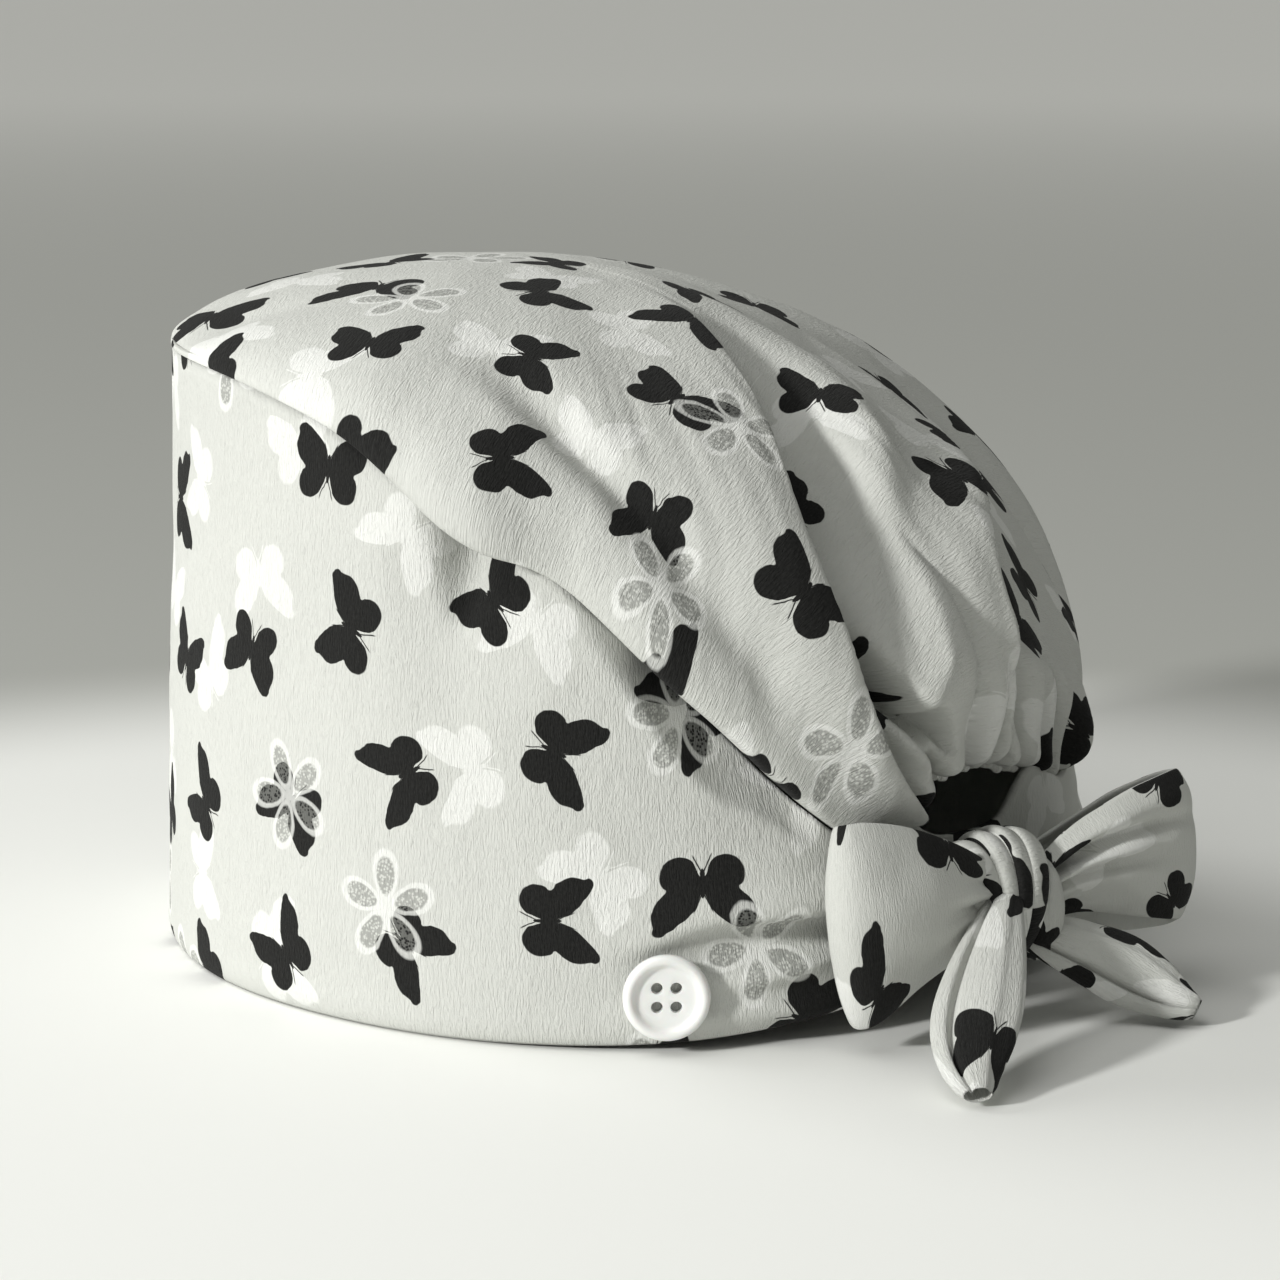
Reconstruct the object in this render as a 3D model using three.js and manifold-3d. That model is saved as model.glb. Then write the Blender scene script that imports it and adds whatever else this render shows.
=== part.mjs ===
// A soft cloth cap as surgeons and nurses wear it: a tall band round the head, a slouched crown that
// is sewn into the band's slanted top edge, a ponytail opening at the back with gathered cloth over
// it, a bow tied below the opening, and a four-hole button on each side of the band.
// Units are millimetres. +Z is up, the wearer's front is -Y and the wearer's left is +X.
// The origin is the centre of the head opening, on the surface that the cap stands on.
// Angles round the cap are in degrees: 0 at the back (+Y), 90 at the wearer's left, 180 in front.

import * as THREE from 'three';
import { mergeVertices } from 'three/addons/utils/BufferGeometryUtils.js';
import Module from 'manifold-3d';

const wasm = await Module();
wasm.setup();

const HEAD_LENGTH = 194;      // the band's outer oval at the rim, front to back
const HEAD_WIDTH = 182;       // the same oval, side to side
const OVAL_POWER = 2.06;      // 2 is an ellipse, a little more fills the corners
const LEAN = 0.032;           // the band leans inward by this much per mm of height
const TOP_HEIGHT = 140.5;     // the crown's highest point
const POLE_Y = -27;           // the highest point lies forward of the centre
const BAND_WALL = 1.7;        // two layers of cotton and their interfacing
const CROWN_WALL = 1.5;       // cotton and its turned seam
const TIE_WALL = 2.3;         // the doubled, turned cloth of the tie
const PIECE_GAP = 0.35;       // clearance between neighbouring pieces
const HEM_HEIGHT = 4.5;       // the lower hem rolls inward over this height
const HEM_ROLL = 2.4;         // and by this much
const TIE_PULL = 5.5;         // the tie pulls the back of the band inward
const BUTTON_DIAMETER = 16.5;
const BUTTON_THICKNESS = 2.9;
const BUTTON_ANGLE = 46;      // round the cap, on each side
const BUTTON_HEIGHT = 11.2;   // of its centre
const BUTTON_STANDOFF = 0.45; // between its flat back and the round of the band
const KNOT_CENTRE = [8, 103, 24.5];

// Tables and their interpolation.

const RAD = Math.PI / 180;

// Smooth curve through rows whose first column is the abscissa; returns the given column.
function along(rows, x, column) {
  const last = rows.length - 1;
  if (x <= rows[0][0]) return rows[0][column];
  if (x >= rows[last][0]) return rows[last][column];
  let i = 0;
  while (x > rows[i + 1][0]) i += 1;
  const slope = (k) => {
    const a = rows[Math.max(k - 1, 0)];
    const b = rows[Math.min(k + 1, last)];
    return (b[column] - a[column]) / (b[0] - a[0]);
  };
  const h = rows[i + 1][0] - rows[i][0];
  const t = (x - rows[i][0]) / h;
  const t2 = t * t;
  const t3 = t2 * t;
  return (2 * t3 - 3 * t2 + 1) * rows[i][column] + (t3 - 2 * t2 + t) * h * slope(i)
    + (3 * t2 - 2 * t3) * rows[i + 1][column] + (t3 - t2) * h * slope(i + 1);
}

const turn = (angle) => ((angle % 360) + 360) % 360;
const signedTurn = (angle) => turn(angle + 180) - 180;
const smooth = (a, b, x) => THREE.MathUtils.smoothstep(x, a, b);

// The form that band and crown share.

// Meridians of the crown. Each goes up from the seam to the top as a soft curve.
// angle, seam height, outward puff, rise of the first handle, reach of the second handle
const MERIDIANS = [
  [0, 49.2, 3.5, 0.52, 0.61],
  [6.5, 50.2, 3.4, 0.52, 0.61],
  [10.5, 49.4, 3.2, 0.53, 0.61],
  [13, 43.0, 3.1, 0.54, 0.61],
  [15, 40.2, 3.1, 0.54, 0.61],
  [25, 40.0, 3.0, 0.55, 0.61],
  [42, 65.5, 2.5, 0.54, 0.66],
  [57, 87.0, 2.0, 0.54, 0.68],
  [70, 98.5, 1.5, 0.54, 0.67],
  [84, 112.0, 1.5, 0.52, 0.67],
  [98, 119.0, 0.9, 0.45, 0.64],
  [113, 122.5, 0.3, 0.38, 0.65],
  [140, 124.0, 0.3, 0.34, 0.64],
  [180, 127.0, 0.4, 0.36, 0.62],
  [220, 123.0, 0.4, 0.37, 0.53],
  [247, 116.5, 0.3, 0.38, 0.46],
  [270, 107.0, 0.2, 0.38, 0.42],
  [290, 93.0, 0.2, 0.36, 0.49],
  [305, 78.5, 1.2, 0.28, 0.50],
  [318, 61.5, 2.2, 0.28, 0.56],
  [335, 40.0, 3.0, 0.40, 0.60],
  [343, 41.5, 3.2, 0.44, 0.60],
  [347, 45.0, 3.3, 0.46, 0.60],
  [353, 47.6, 3.4, 0.50, 0.61],
  [360, 49.2, 3.5, 0.52, 0.61],
];

// The band's top edge follows the seam, and dips under the ponytail opening.
// angle, height of the band's top edge
const OPENING_SILL = [
  [-17, 41.4],
  [-14, 41.9],
  [-11, 40.6],
  [-7, 38.2],
  [-3, 35.8],
  [1, 35.0],
  [6, 35.2],
  [10, 37.0],
  [14, 40.6],
];

// The lower edge stands on the surface, and the tie lifts it at the back.
// angle, height of the lower edge
const FOOT = [
  [0, 10.5],
  [10, 9.0],
  [20, 6.2],
  [31, 3.6],
  [45, 1.5],
  [62, 0.4],
  [78, 0],
  [180, 0],
];

// The crown's lower edge hangs out over the band, most on the back quarters.
// angle, overhang
const OVERHANG = [
  [0, 0],
  [18, 0.4],
  [24, 2.4],
  [33, 5.0],
  [46, 6.0],
  [60, 5.6],
  [68, 4.4],
  [76, 2.6],
  [88, 1.2],
  [105, 0.6],
  [180, 0.5],
  [270, 0.8],
  [300, 1.6],
  [322, 2.6],
  [338, 1.2],
  [360, 0],
];

// Folds of the crown, each a run of sections from the edge upward.
// way up the meridian (0 edge, 1 top), angle, height (negative is a valley),
// width on the side of larger angles, width on the side of smaller angles
const CROWN_FOLDS = {
  bigFold: [
    [0.00, 14.5, 2.5, 8, 2.4],
    [0.04, 17.4, 4.2, 10, 2.6],
    [0.12, 22.6, 6.0, 13, 2.8],
    [0.21, 26.0, 6.8, 15, 3.0],
    [0.33, 27.6, 6.6, 16, 3.0],
    [0.44, 26.6, 6.0, 16, 3.0],
    [0.52, 24.6, 5.0, 15, 3.4],
    [0.70, 21.0, 2.6, 12, 5.0],
    [0.86, 19.0, 0.0, 10, 6.0],
  ],
  troughBesideIt: [
    [0.03, 10.0, 0.0, 3, 3],
    [0.08, 13.4, -2.6, 3, 3],
    [0.155, 18.0, -5.0, 3.4, 4],
    [0.21, 20.4, -5.0, 4, 6],
    [0.33, 21.4, -4.4, 4, 9],
    [0.50, 18.0, -3.0, 5, 10],
    [0.68, 15.0, 0.0, 6, 10],
  ],
  farFold: [
    [0.00, -4.5, 0.8, 6, 2.4],
    [0.04, -2.0, 2.8, 7, 2.4],
    [0.10, -0.8, 4.4, 8, 2.4],
    [0.27, -0.8, 5.8, 12, 2.8],
    [0.36, -8.0, 5.2, 12, 3.0],
    [0.46, -20.0, 4.2, 12, 3.4],
    [0.56, -32.0, 2.2, 12, 4.0],
    [0.66, -42.0, 0.0, 12, 6.0],
  ],
  troughBeyond: [
    [0.04, -7.0, 0.0, 3, 4],
    [0.12, -6.4, -2.6, 3, 5],
    [0.26, -6.8, -3.6, 3, 6],
    [0.37, -14.0, -3.2, 3.4, 7],
    [0.48, -27.0, -2.0, 4, 8],
    [0.58, -38.0, 0.0, 5, 8],
  ],
  softRidge: [
    [0.28, 11.0, 0.0, 5, 4],
    [0.38, 9.6, 2.4, 6, 4.5],
    [0.50, 2.5, 2.2, 7, 5],
    [0.64, -6.0, 0.0, 8, 8],
  ],
  sideValley: [
    [0.03, 59.0, 0.0, 6, 6],
    [0.12, 57.5, -2.2, 7, 7],
    [0.25, 56.5, -4.0, 7, 8],
    [0.46, 52.0, -4.0, 8, 8],
    [0.62, 48.0, 0.0, 8, 8],
  ],
  backValley: [
    [0.02, 36.0, 0.0, 5, 5],
    [0.17, 34.5, -2.6, 6, 6],
    [0.31, 40.0, -3.2, 7, 6],
    [0.46, 45.0, 0.0, 7, 7],
  ],
  puffBetween: [
    [0.06, 45.0, 0.0, 7, 7],
    [0.20, 46.5, 2.0, 8, 7],
    [0.34, 49.0, 2.0, 8, 7],
    [0.50, 50.0, 0.0, 8, 8],
  ],
  backBump: [
    [0.22, 4.0, 0.0, 8, 8],
    [0.44, 5.5, 2.4, 9, 9],
    [0.62, 6.0, 0.0, 9, 9],
  ],
  farValley: [
    [0.04, -42.0, 0.0, 6, 6],
    [0.16, -44.0, -2.4, 7, 7],
    [0.32, -49.0, -2.2, 8, 8],
    [0.50, -56.0, 0.0, 9, 9],
  ],
  frontValley: [
    [0.10, 121.0, 0.0, 8, 8],
    [0.34, 118.0, -1.5, 9, 9],
    [0.60, 108.0, 0.0, 9, 9],
  ],
  farFrontValley: [
    [0.10, 236.0, 0.0, 8, 8],
    [0.34, 240.0, -1.6, 9, 9],
    [0.60, 250.0, 0.0, 9, 9],
  ],
};

// Lobes of cloth that the casing gathers over the opening.
// angle at the edge, height, half width in degrees, how far up the meridian, drift and growth on the way
const GATHERS = [
  [-19.6, 2.2, 2.9, 0.20, -2, 0.5],
  [-14.2, 2.8, 2.6, 0.16, 1, 0.5],
  [-8.8, 3.4, 2.9, 0.17, 1, 0.5],
  [-3.2, 3.4, 2.9, 0.15, 2, 0.5],
  [1.6, 2.6, 2.0, 0.14, 3, 0.5],
  [6.8, 3.8, 3.4, 0.34, 12, 1.5],
];

// Folds of the band, which run round it from the tie.
// angle, height above the surface, height of the fold, width above it, width below it
const BAND_FOLDS = {
  tiePleat: [
    [14, 27.5, 0.0, 7, 2.4],
    [21, 26.0, 2.8, 8, 2.0],
    [32, 25.2, 3.4, 10, 2.0],
    [42, 26.0, 2.0, 10, 2.4],
    [54, 28.0, 0.0, 10, 4.0],
  ],
  lowerPleat: [
    [14, 20.0, 0.0, 4, 2.0],
    [21, 18.0, 1.8, 5, 2.0],
    [32, 15.0, 1.8, 5, 2.4],
    [40, 12.0, 0.0, 5, 3.0],
  ],
  dentUnderCrown: [
    [57, 83.0, 0.0, 6, 12],
    [65, 90.5, -3.0, 5, 16],
    [71, 94.5, -4.6, 5, 19],
    [77, 99.0, -3.4, 5, 20],
    [86, 106.0, 0.0, 6, 20],
  ],
  farTiePleat: [
    [-54, 27.0, 0.0, 10, 4.0],
    [-40, 25.0, 1.6, 10, 2.4],
    [-28, 24.5, 2.4, 9, 2.0],
    [-15, 26.5, 0.0, 7, 2.4],
  ],
};

// One side's height of a fold: a rounded crest that falls off over its own width.
const crest = (distance, wideUp, wideDown) => {
  const width = distance > 0 ? wideUp : wideDown;
  return Math.exp(-((distance / width) ** 2));
};

function oval(angle) {
  const c = Math.cos(angle * RAD);
  const s = Math.sin(angle * RAD);
  const r = (Math.abs(c) ** OVAL_POWER + Math.abs(s) ** OVAL_POWER) ** (-1 / OVAL_POWER);
  return new THREE.Vector2(HEAD_WIDTH / 2 * r * s, HEAD_LENGTH / 2 * r * c);
}

const seamHeight = (angle) => along(MERIDIANS, turn(angle), 1);

function footHeight(angle) {
  return along(FOOT, Math.abs(signedTurn(angle)), 1);
}

function bandTop(angle) {
  const a = signedTurn(angle);
  const last = OPENING_SILL.length - 1;
  const outside = a < OPENING_SILL[0][0] || a > OPENING_SILL[last][0];
  return (outside ? seamHeight(a) : along(OPENING_SILL, a, 1)) - PIECE_GAP;
}

// Outward relief of the band at an angle and a height.
function bandRelief(angle, z) {
  const a = signedTurn(angle);
  let relief = 0;
  for (const rows of Object.values(BAND_FOLDS)) {
    if (a < rows[0][0] || a > rows[rows.length - 1][0]) continue;
    const distance = z - along(rows, a, 1);
    relief += along(rows, a, 2) * crest(distance, along(rows, a, 3), along(rows, a, 4));
  }
  const pull = TIE_PULL * Math.exp(-(((a - 3) / 17) ** 2)) * (1 - smooth(34, 52, z));
  const pucker = 0.5 * Math.exp(-(((a - 33) / 14) ** 2)) * Math.cos(z * 0.9) * (1 - smooth(20, 36, z));
  return relief - pull + pucker;
}

// Outer surface of the band; depth is measured inward.
function bandPoint(angle, v, depth) {
  const foot = footHeight(angle);
  const z = foot + (bandTop(angle) - foot) * v;
  const plan = oval(angle);
  const r = plan.length();
  const hem = THREE.MathUtils.clamp(1 - (z - foot) / HEM_HEIGHT, 0, 1);
  const roll = HEM_ROLL * (1 - Math.sqrt(1 - hem * hem * 0.96));
  const reach = r - LEAN * z + bandRelief(angle, z) - roll - depth;
  return new THREE.Vector3(plan.x * reach / r, plan.y * reach / r, z);
}

// Undisturbed surface of the crown at an angle and a way t up its meridian.
function crownBase(angle, t) {
  const a = turn(angle);
  const z0 = seamHeight(a);
  const plan = oval(a);
  const r = plan.length();
  plan.multiplyScalar((r - LEAN * z0) / r);
  const b0 = (1 - t) ** 3;
  const b1 = 3 * t * (1 - t) ** 2;
  const b2 = 3 * t * t * (1 - t);
  const b3 = t ** 3;
  const share = b0 + b1 * (1 + along(MERIDIANS, a, 2) / r) + b2 * along(MERIDIANS, a, 4);
  const z1 = z0 + along(MERIDIANS, a, 3) * (TOP_HEIGHT - z0);
  const point = new THREE.Vector3(
    plan.x * share,
    POLE_Y * (1 - share) + plan.y * share,
    b0 * z0 + b1 * z1 + (b2 + b3) * TOP_HEIGHT,
  );
  return { point, share };
}

// Outward relief of the crown: folds, gathers and the overhang at the edge.
function crownRelief(angle, t, share) {
  const mmPerDegree = 95 * share * RAD;
  let relief = 0;
  for (const rows of Object.values(CROWN_FOLDS)) {
    if (t < rows[0][0] - 0.001 || t > rows[rows.length - 1][0]) continue;
    const distance = signedTurn(angle - along(rows, t, 1)) * mmPerDegree;
    relief += along(rows, t, 2) * crest(distance, along(rows, t, 3), along(rows, t, 4));
  }
  for (const [at, height, half, length, drift, growth] of GATHERS) {
    if (t > length) continue;
    const way = t / length;
    const off = signedTurn(angle - at - drift * way) / (half * (1 + growth * way));
    if (Math.abs(off) < 1) relief += height * (0.5 + 0.5 * Math.cos(off * Math.PI)) * (1 - way * way);
  }
  return relief;
}

// How much of the overhang shows at a way t up the meridian.
const OVERHANG_SHAPE = [
  [0, 0.5],
  [0.05, 1],
  [0.14, 0.7],
  [0.30, 0.2],
  [0.45, 0],
];
const FOLD_CENTRE = new THREE.Vector3(0, 0, 55);

function crownPoint(angle, t, depth) {
  const { point, share } = crownBase(angle, t);
  const inner = depth > 0;
  const edge = along(OVERHANG, turn(angle), 1) * along(OVERHANG_SHAPE, t, 1);
  const hidden = inner ? smooth(0, 0.06, t) : 1;
  const out = crownRelief(angle, t, share) * (t > 0 || !inner ? 1 : 0.3) + edge * hidden - depth;
  const ray = point.clone().sub(FOLD_CENTRE);
  ray.z *= smooth(0, 0.12, t);
  return point.addScaledVector(ray.normalize(), out);
}

// Closed meshes from grids of points.

function geometryFrom(positions, triangles) {
  const geometry = new THREE.BufferGeometry();
  geometry.setAttribute('position', new THREE.Float32BufferAttribute(positions, 3));
  geometry.setIndex(triangles);
  return geometry;
}

// Turns the faces round where they enclose a negative volume, so that they all point outward.
function facingOut(positions, triangles) {
  const corner = (i) => new THREE.Vector3(...positions.slice(3 * i, 3 * i + 3));
  let volume = 0;
  for (let i = 0; i < triangles.length; i += 3) {
    const [a, b, c] = [corner(triangles[i]), corner(triangles[i + 1]), corner(triangles[i + 2])];
    volume += a.dot(b.cross(c));
  }
  return geometryFrom(positions, volume < 0 ? triangles.toReversed() : triangles);
}

// A wall between two ringed surfaces. rows(k, side) gives the k-th ring, side 0 outer and 1 inner.
// With a pole, the last ring of each side is drawn together to one point.
function shell(rings, columns, pointAt, poleAt) {
  const positions = [];
  const triangles = [];
  const index = (side, k, c) => (side * rings + k) * columns + (c % columns);
  for (let side = 0; side < 2; side += 1) {
    for (let k = 0; k < rings; k += 1) {
      for (let c = 0; c < columns; c += 1) positions.push(...pointAt(k, c, side).toArray());
    }
  }
  const quad = (a, b, c, d) => triangles.push(a, b, c, a, c, d);
  for (let k = 0; k + 1 < rings; k += 1) {
    for (let c = 0; c < columns; c += 1) {
      quad(index(0, k, c), index(0, k + 1, c), index(0, k + 1, c + 1), index(0, k, c + 1));
      quad(index(1, k, c), index(1, k, c + 1), index(1, k + 1, c + 1), index(1, k + 1, c));
    }
  }
  for (let c = 0; c < columns; c += 1) {
    quad(index(0, 0, c), index(0, 0, c + 1), index(1, 0, c + 1), index(1, 0, c));
  }
  const top = rings - 1;
  if (!poleAt) {
    for (let c = 0; c < columns; c += 1) {
      quad(index(0, top, c), index(1, top, c), index(1, top, c + 1), index(0, top, c + 1));
    }
    return geometryFrom(positions, triangles);
  }
  for (let side = 0; side < 2; side += 1) {
    const pole = positions.length / 3;
    positions.push(...poleAt(side).toArray());
    for (let c = 0; c < columns; c += 1) {
      const a = index(side, top, c);
      const b = index(side, top, c + 1);
      if (side === 0) triangles.push(a, pole, b);
      else triangles.push(a, b, pole);
    }
  }
  return geometryFrom(positions, triangles);
}

// A solid skinned over closed sections, all with the same number of points, with fanned ends.
function skin(sections) {
  const n = sections[0].length;
  const positions = sections.flat().flatMap((p) => p.toArray());
  const triangles = [];
  for (let k = 0; k + 1 < sections.length; k += 1) {
    for (let j = 0; j < n; j += 1) {
      const a = k * n + j;
      const b = k * n + (j + 1) % n;
      triangles.push(a, b, b + n, a, b + n, a + n);
    }
  }
  const cap = (ring, flip) => {
    const middle = positions.length / 3;
    const centre = sections[ring].reduce((sum, p) => sum.add(p), new THREE.Vector3()).divideScalar(n);
    positions.push(...centre.toArray());
    for (let j = 0; j < n; j += 1) {
      const a = ring * n + j;
      const b = ring * n + (j + 1) % n;
      if (flip) triangles.push(middle, b, a);
      else triangles.push(middle, a, b);
    }
  };
  cap(0, true);
  cap(sections.length - 1, false);
  return facingOut(positions, triangles);
}

// Joining and cutting closed meshes.

function solidOf(geometry) {
  const bare = geometry.clone();
  bare.deleteAttribute('normal');
  bare.deleteAttribute('uv');
  const merged = mergeVertices(bare, 1e-4);
  return new wasm.Manifold(new wasm.Mesh({
    numProp: 3,
    vertProperties: new Float32Array(merged.attributes.position.array),
    triVerts: new Uint32Array(merged.index.array),
  }));
}

function geometryOf(solid) {
  const mesh = solid.getMesh();
  return geometryFrom(Array.from(mesh.vertProperties), Array.from(mesh.triVerts));
}

// Materials.

const cloth = () => new THREE.MeshStandardMaterial({ color: 0xd4d5cf, roughness: 0.9, metalness: 0 });
const button = () => new THREE.MeshStandardMaterial({ color: 0xe9eae8, roughness: 0.35, metalness: 0 });

const cap = new THREE.Group();

function add(name, geometry, material) {
  const mesh = new THREE.Mesh(geometry, material);
  mesh.name = name;
  cap.add(mesh);
  return mesh;
}

// Band and crown.

// Angles of the columns, close together at the back, where the cloth is gathered.
// from this angle to the next row's, this far apart
const COLUMN_STEPS = [
  [-24, 1.5],
  [24, 3.6],
  [60, 7],
  [298.5, 3.75],
  [336, 0],
];
const columns = [];
for (let i = 0; i + 1 < COLUMN_STEPS.length; i += 1) {
  const [from, step] = COLUMN_STEPS[i];
  for (let a = from; a < COLUMN_STEPS[i + 1][0] - 0.01; a += step) columns.push(a);
}

const BAND_LEVELS = [0, 0.035, 0.1, 0.25, 0.45, 0.7, 1];
add('band', shell(BAND_LEVELS.length, columns.length,
  (k, c, side) => bandPoint(columns[c], BAND_LEVELS[k], side * BAND_WALL)), cloth());

const CROWN_LEVELS = [0, 0.03, 0.07, 0.12, 0.18, 0.25, 0.33, 0.42, 0.52, 0.64, 0.78, 0.9];
add('crown', shell(CROWN_LEVELS.length, columns.length,
  (k, c, side) => crownPoint(columns[c], CROWN_LEVELS[k], side * CROWN_WALL),
  (side) => new THREE.Vector3(0, POLE_Y, TOP_HEIGHT - side * CROWN_WALL)), cloth());

// Casing of the opening's elastic.

// A narrow rolled casing right under the gathered edge, from one side of the opening to the other.
const CASING_FROM = -13;
const CASING_TO = 10.4;
const CASING_STEPS = 26;
const CASING_HEIGHT = 2.6;
const CASING_THICKNESS = 2.2;

function casingSection(angle) {
  const edge = crownPoint(angle, 0, 0);
  const outward = new THREE.Vector3(edge.x, edge.y, 0).normalize();
  const section = [];
  for (let j = 0; j < 8; j += 1) {
    const turnBy = j * Math.PI / 4;
    const side = Math.cos(turnBy) * CASING_THICKNESS / 2;
    const up = Math.sin(turnBy) * CASING_HEIGHT / 2;
    const point = edge.clone().addScaledVector(outward, side - CASING_THICKNESS / 2 - 0.3);
    point.z += up - CASING_HEIGHT / 2 - PIECE_GAP;
    section.push(point);
  }
  return section;
}

const casingSections = [];
for (let i = 0; i <= CASING_STEPS; i += 1) {
  casingSections.push(casingSection(CASING_TO + (CASING_FROM - CASING_TO) * i / CASING_STEPS));
}
add('elastic_casing', skin(casingSections), cloth());

// The bow.

// Frame of the bow: along it, up, and outward from the cap.
const BOW_ALONG = new THREE.Vector3(0.94, -0.34, 0).normalize();
const BOW_OUT = new THREE.Vector3(0.34, 0.94, 0).normalize();

// The knot is a soft core with turns of the tie round it.
const KNOT_HALF = [12.8, 11.0, 8.0];   // half size along the bow, up and outward
const KNOT_SHIFT = 2.4;                // the core's middle along the bow
// offset along the bow on top, offset in front, half width, rise over the core
const KNOT_TURNS = [
  [12.0, 5.0, 2.6, 0.6],
  [7.6, 3.6, 2.6, 1.0],
  [3.4, 2.2, 2.6, 1.4],
  [-0.9, 1.0, 2.6, 1.4],
  [-5.2, -0.4, 2.8, 1.0],
];
// The last turn bulges beside the others: offset along the bow, up and outward, then its half sizes.
const KNOT_BULGE = [-6.4, -2.4, 2.6, 5.0, 10.4, 6.6];

function inKnot(alongBow, up, out) {
  return new THREE.Vector3(...KNOT_CENTRE)
    .addScaledVector(BOW_ALONG, alongBow)
    .addScaledVector(BOW_OUT, out)
    .add(new THREE.Vector3(0, 0, up));
}

function knotBall([sideways, up, out], half, grow) {
  const geometry = new THREE.SphereGeometry(1, 16, 10);
  const position = geometry.attributes.position;
  for (let i = 0; i < position.count; i += 1) {
    const p = inKnot(
      sideways + position.getX(i) * (half[0] + grow),
      up + position.getY(i) * (half[1] + grow),
      out + position.getZ(i) * (half[2] + grow),
    );
    position.setXYZ(i, p.x, p.y, p.z);
  }
  return solidOf(facingOut(Array.from(position.array), Array.from(geometry.index.array)));
}

function knotTurn([onTop, inFront, half, rise], grow) {
  const stations = 22;
  const points = 8;
  const positions = [];
  const triangles = [];
  for (let k = 0; k < stations; k += 1) {
    const around = k / stations * 2 * Math.PI;
    const topShare = 0.5 + 0.5 * Math.sin(around);
    const shift = inFront + (onTop - inFront) * topShare;
    for (let j = 0; j < points; j += 1) {
      const turnBy = j / points * 2 * Math.PI;
      const side = shift + Math.cos(turnBy) * (half + grow);
      const fall = Math.sqrt(Math.max(0.1, 1 - (side / 18.4) ** 2));
      const lift = Math.sin(turnBy);
      const depth = lift * (lift > 0 ? 1.6 + grow : 7) + rise - 0.6;
      const up = Math.sin(around) * (KNOT_HALF[1] * fall + depth);
      const out = Math.cos(around) * (KNOT_HALF[2] * fall + depth);
      positions.push(...inKnot(side, up, out).toArray());
    }
  }
  for (let k = 0; k < stations; k += 1) {
    for (let j = 0; j < points; j += 1) {
      const a = k * points + j;
      const b = k * points + (j + 1) % points;
      const c = ((k + 1) % stations) * points + (j + 1) % points;
      const d = ((k + 1) % stations) * points + j;
      triangles.push(a, c, b, a, d, c);
    }
  }
  return solidOf(facingOut(positions, triangles));
}

function knotSolid(grow) {
  let solid = knotBall([KNOT_SHIFT, 0, 0], KNOT_HALF, grow);
  solid = solid.add(knotBall(KNOT_BULGE.slice(0, 3), KNOT_BULGE.slice(3), grow));
  for (const row of KNOT_TURNS) solid = solid.add(knotTurn(row, grow));
  return solid;
}

add('knot', geometryOf(knotSolid(0)), cloth());
const knotClearance = knotSolid(PIECE_GAP);

// Each loop is a strip of doubled cloth that leaves the knot, turns back and returns to it.
// upper edge x, y, z, lower edge x, y, z, outward belly between them
const NEAR_LOOP = [
  [12, 105.0, 31, 12, 105.4, 19, 0.5],
  [23, 103.8, 37.4, 23, 104.2, 16.2, 1.6],
  [35, 101.0, 42.6, 34, 102.0, 11.4, 3.6],
  [44.4, 98.4, 44.9, 41.6, 99.6, 6.6, 4.0],
  [48.4, 95.6, 44.8, 44.2, 97.0, 5.2, 3.6],
  [46.8, 92.8, 43.6, 43.0, 94.4, 5.8, 1.6],
  [37, 92.8, 40.6, 35, 93.8, 7.6, 0.4],
  [24, 95.8, 36, 24, 96.4, 11.6, 0.2],
  [12, 99.0, 30, 12, 99.4, 18, 0.2],
];
const FAR_LOOP = [
  [3, 107.2, 31, 4, 107.4, 19, 0.5],
  [-8, 109.8, 37.4, -8, 110.2, 19.4, 1.6],
  [-20, 113.4, 42.0, -19, 114.0, 17.2, 2.4],
  [-30, 116.0, 44.2, -30, 116.8, 14.6, 2.2],
  [-34.6, 114.8, 44.0, -36.4, 115.6, 13.2, 2.8],
  [-33.6, 111.2, 42.8, -35.4, 112.0, 11.4, 1.6],
  [-24, 107.2, 40, -24, 107.8, 12.0, 0.6],
  [-11, 103.2, 35, -11, 103.6, 15.6, 0.4],
  [3, 101.0, 30, 4, 101.2, 20, 0.2],
];
const LOOP_STATIONS = 26;
const LOOP_BANDS = 4;

function loopSections(rows, mirrored) {
  const table = rows.map((row, i) => [i, ...row]);
  const at = (s, column) => along(table, s * (rows.length - 1), column);
  const edge = (s, first) => new THREE.Vector3(at(s, first), at(s, first + 1), at(s, first + 2));
  const sections = [];
  for (let i = 0; i <= LOOP_STATIONS; i += 1) {
    const s = i / LOOP_STATIONS;
    const upper = edge(s, 1);
    const lower = edge(s, 4);
    const before = edge(Math.max(s - 0.02, 0), 1).add(edge(Math.max(s - 0.02, 0), 4));
    const after = edge(Math.min(s + 0.02, 1), 1).add(edge(Math.min(s + 0.02, 1), 4));
    const onward = after.sub(before);
    const out = onward.cross(lower.clone().sub(upper)).normalize().multiplyScalar(mirrored ? -1 : 1);
    const front = [];
    const back = [];
    for (let j = 0; j <= LOOP_BANDS; j += 1) {
      const w = j / LOOP_BANDS;
      const belly = at(s, 7) * (1 - (2 * w - 1) ** 2);
      const p = upper.clone().lerp(lower, w);
      front.push(p.clone().addScaledVector(out, belly + TIE_WALL / 2));
      back.push(p.clone().addScaledVector(out, belly - TIE_WALL / 2));
    }
    sections.push([...front, ...back.reverse()]);
  }
  return sections;
}

function trimmed(geometry) {
  return geometryOf(solidOf(geometry).subtract(knotClearance));
}

add('loop_near', trimmed(skin(loopSections(NEAR_LOOP, false))), cloth());
add('loop_far', trimmed(skin(loopSections(FAR_LOOP, true))), cloth());

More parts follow.
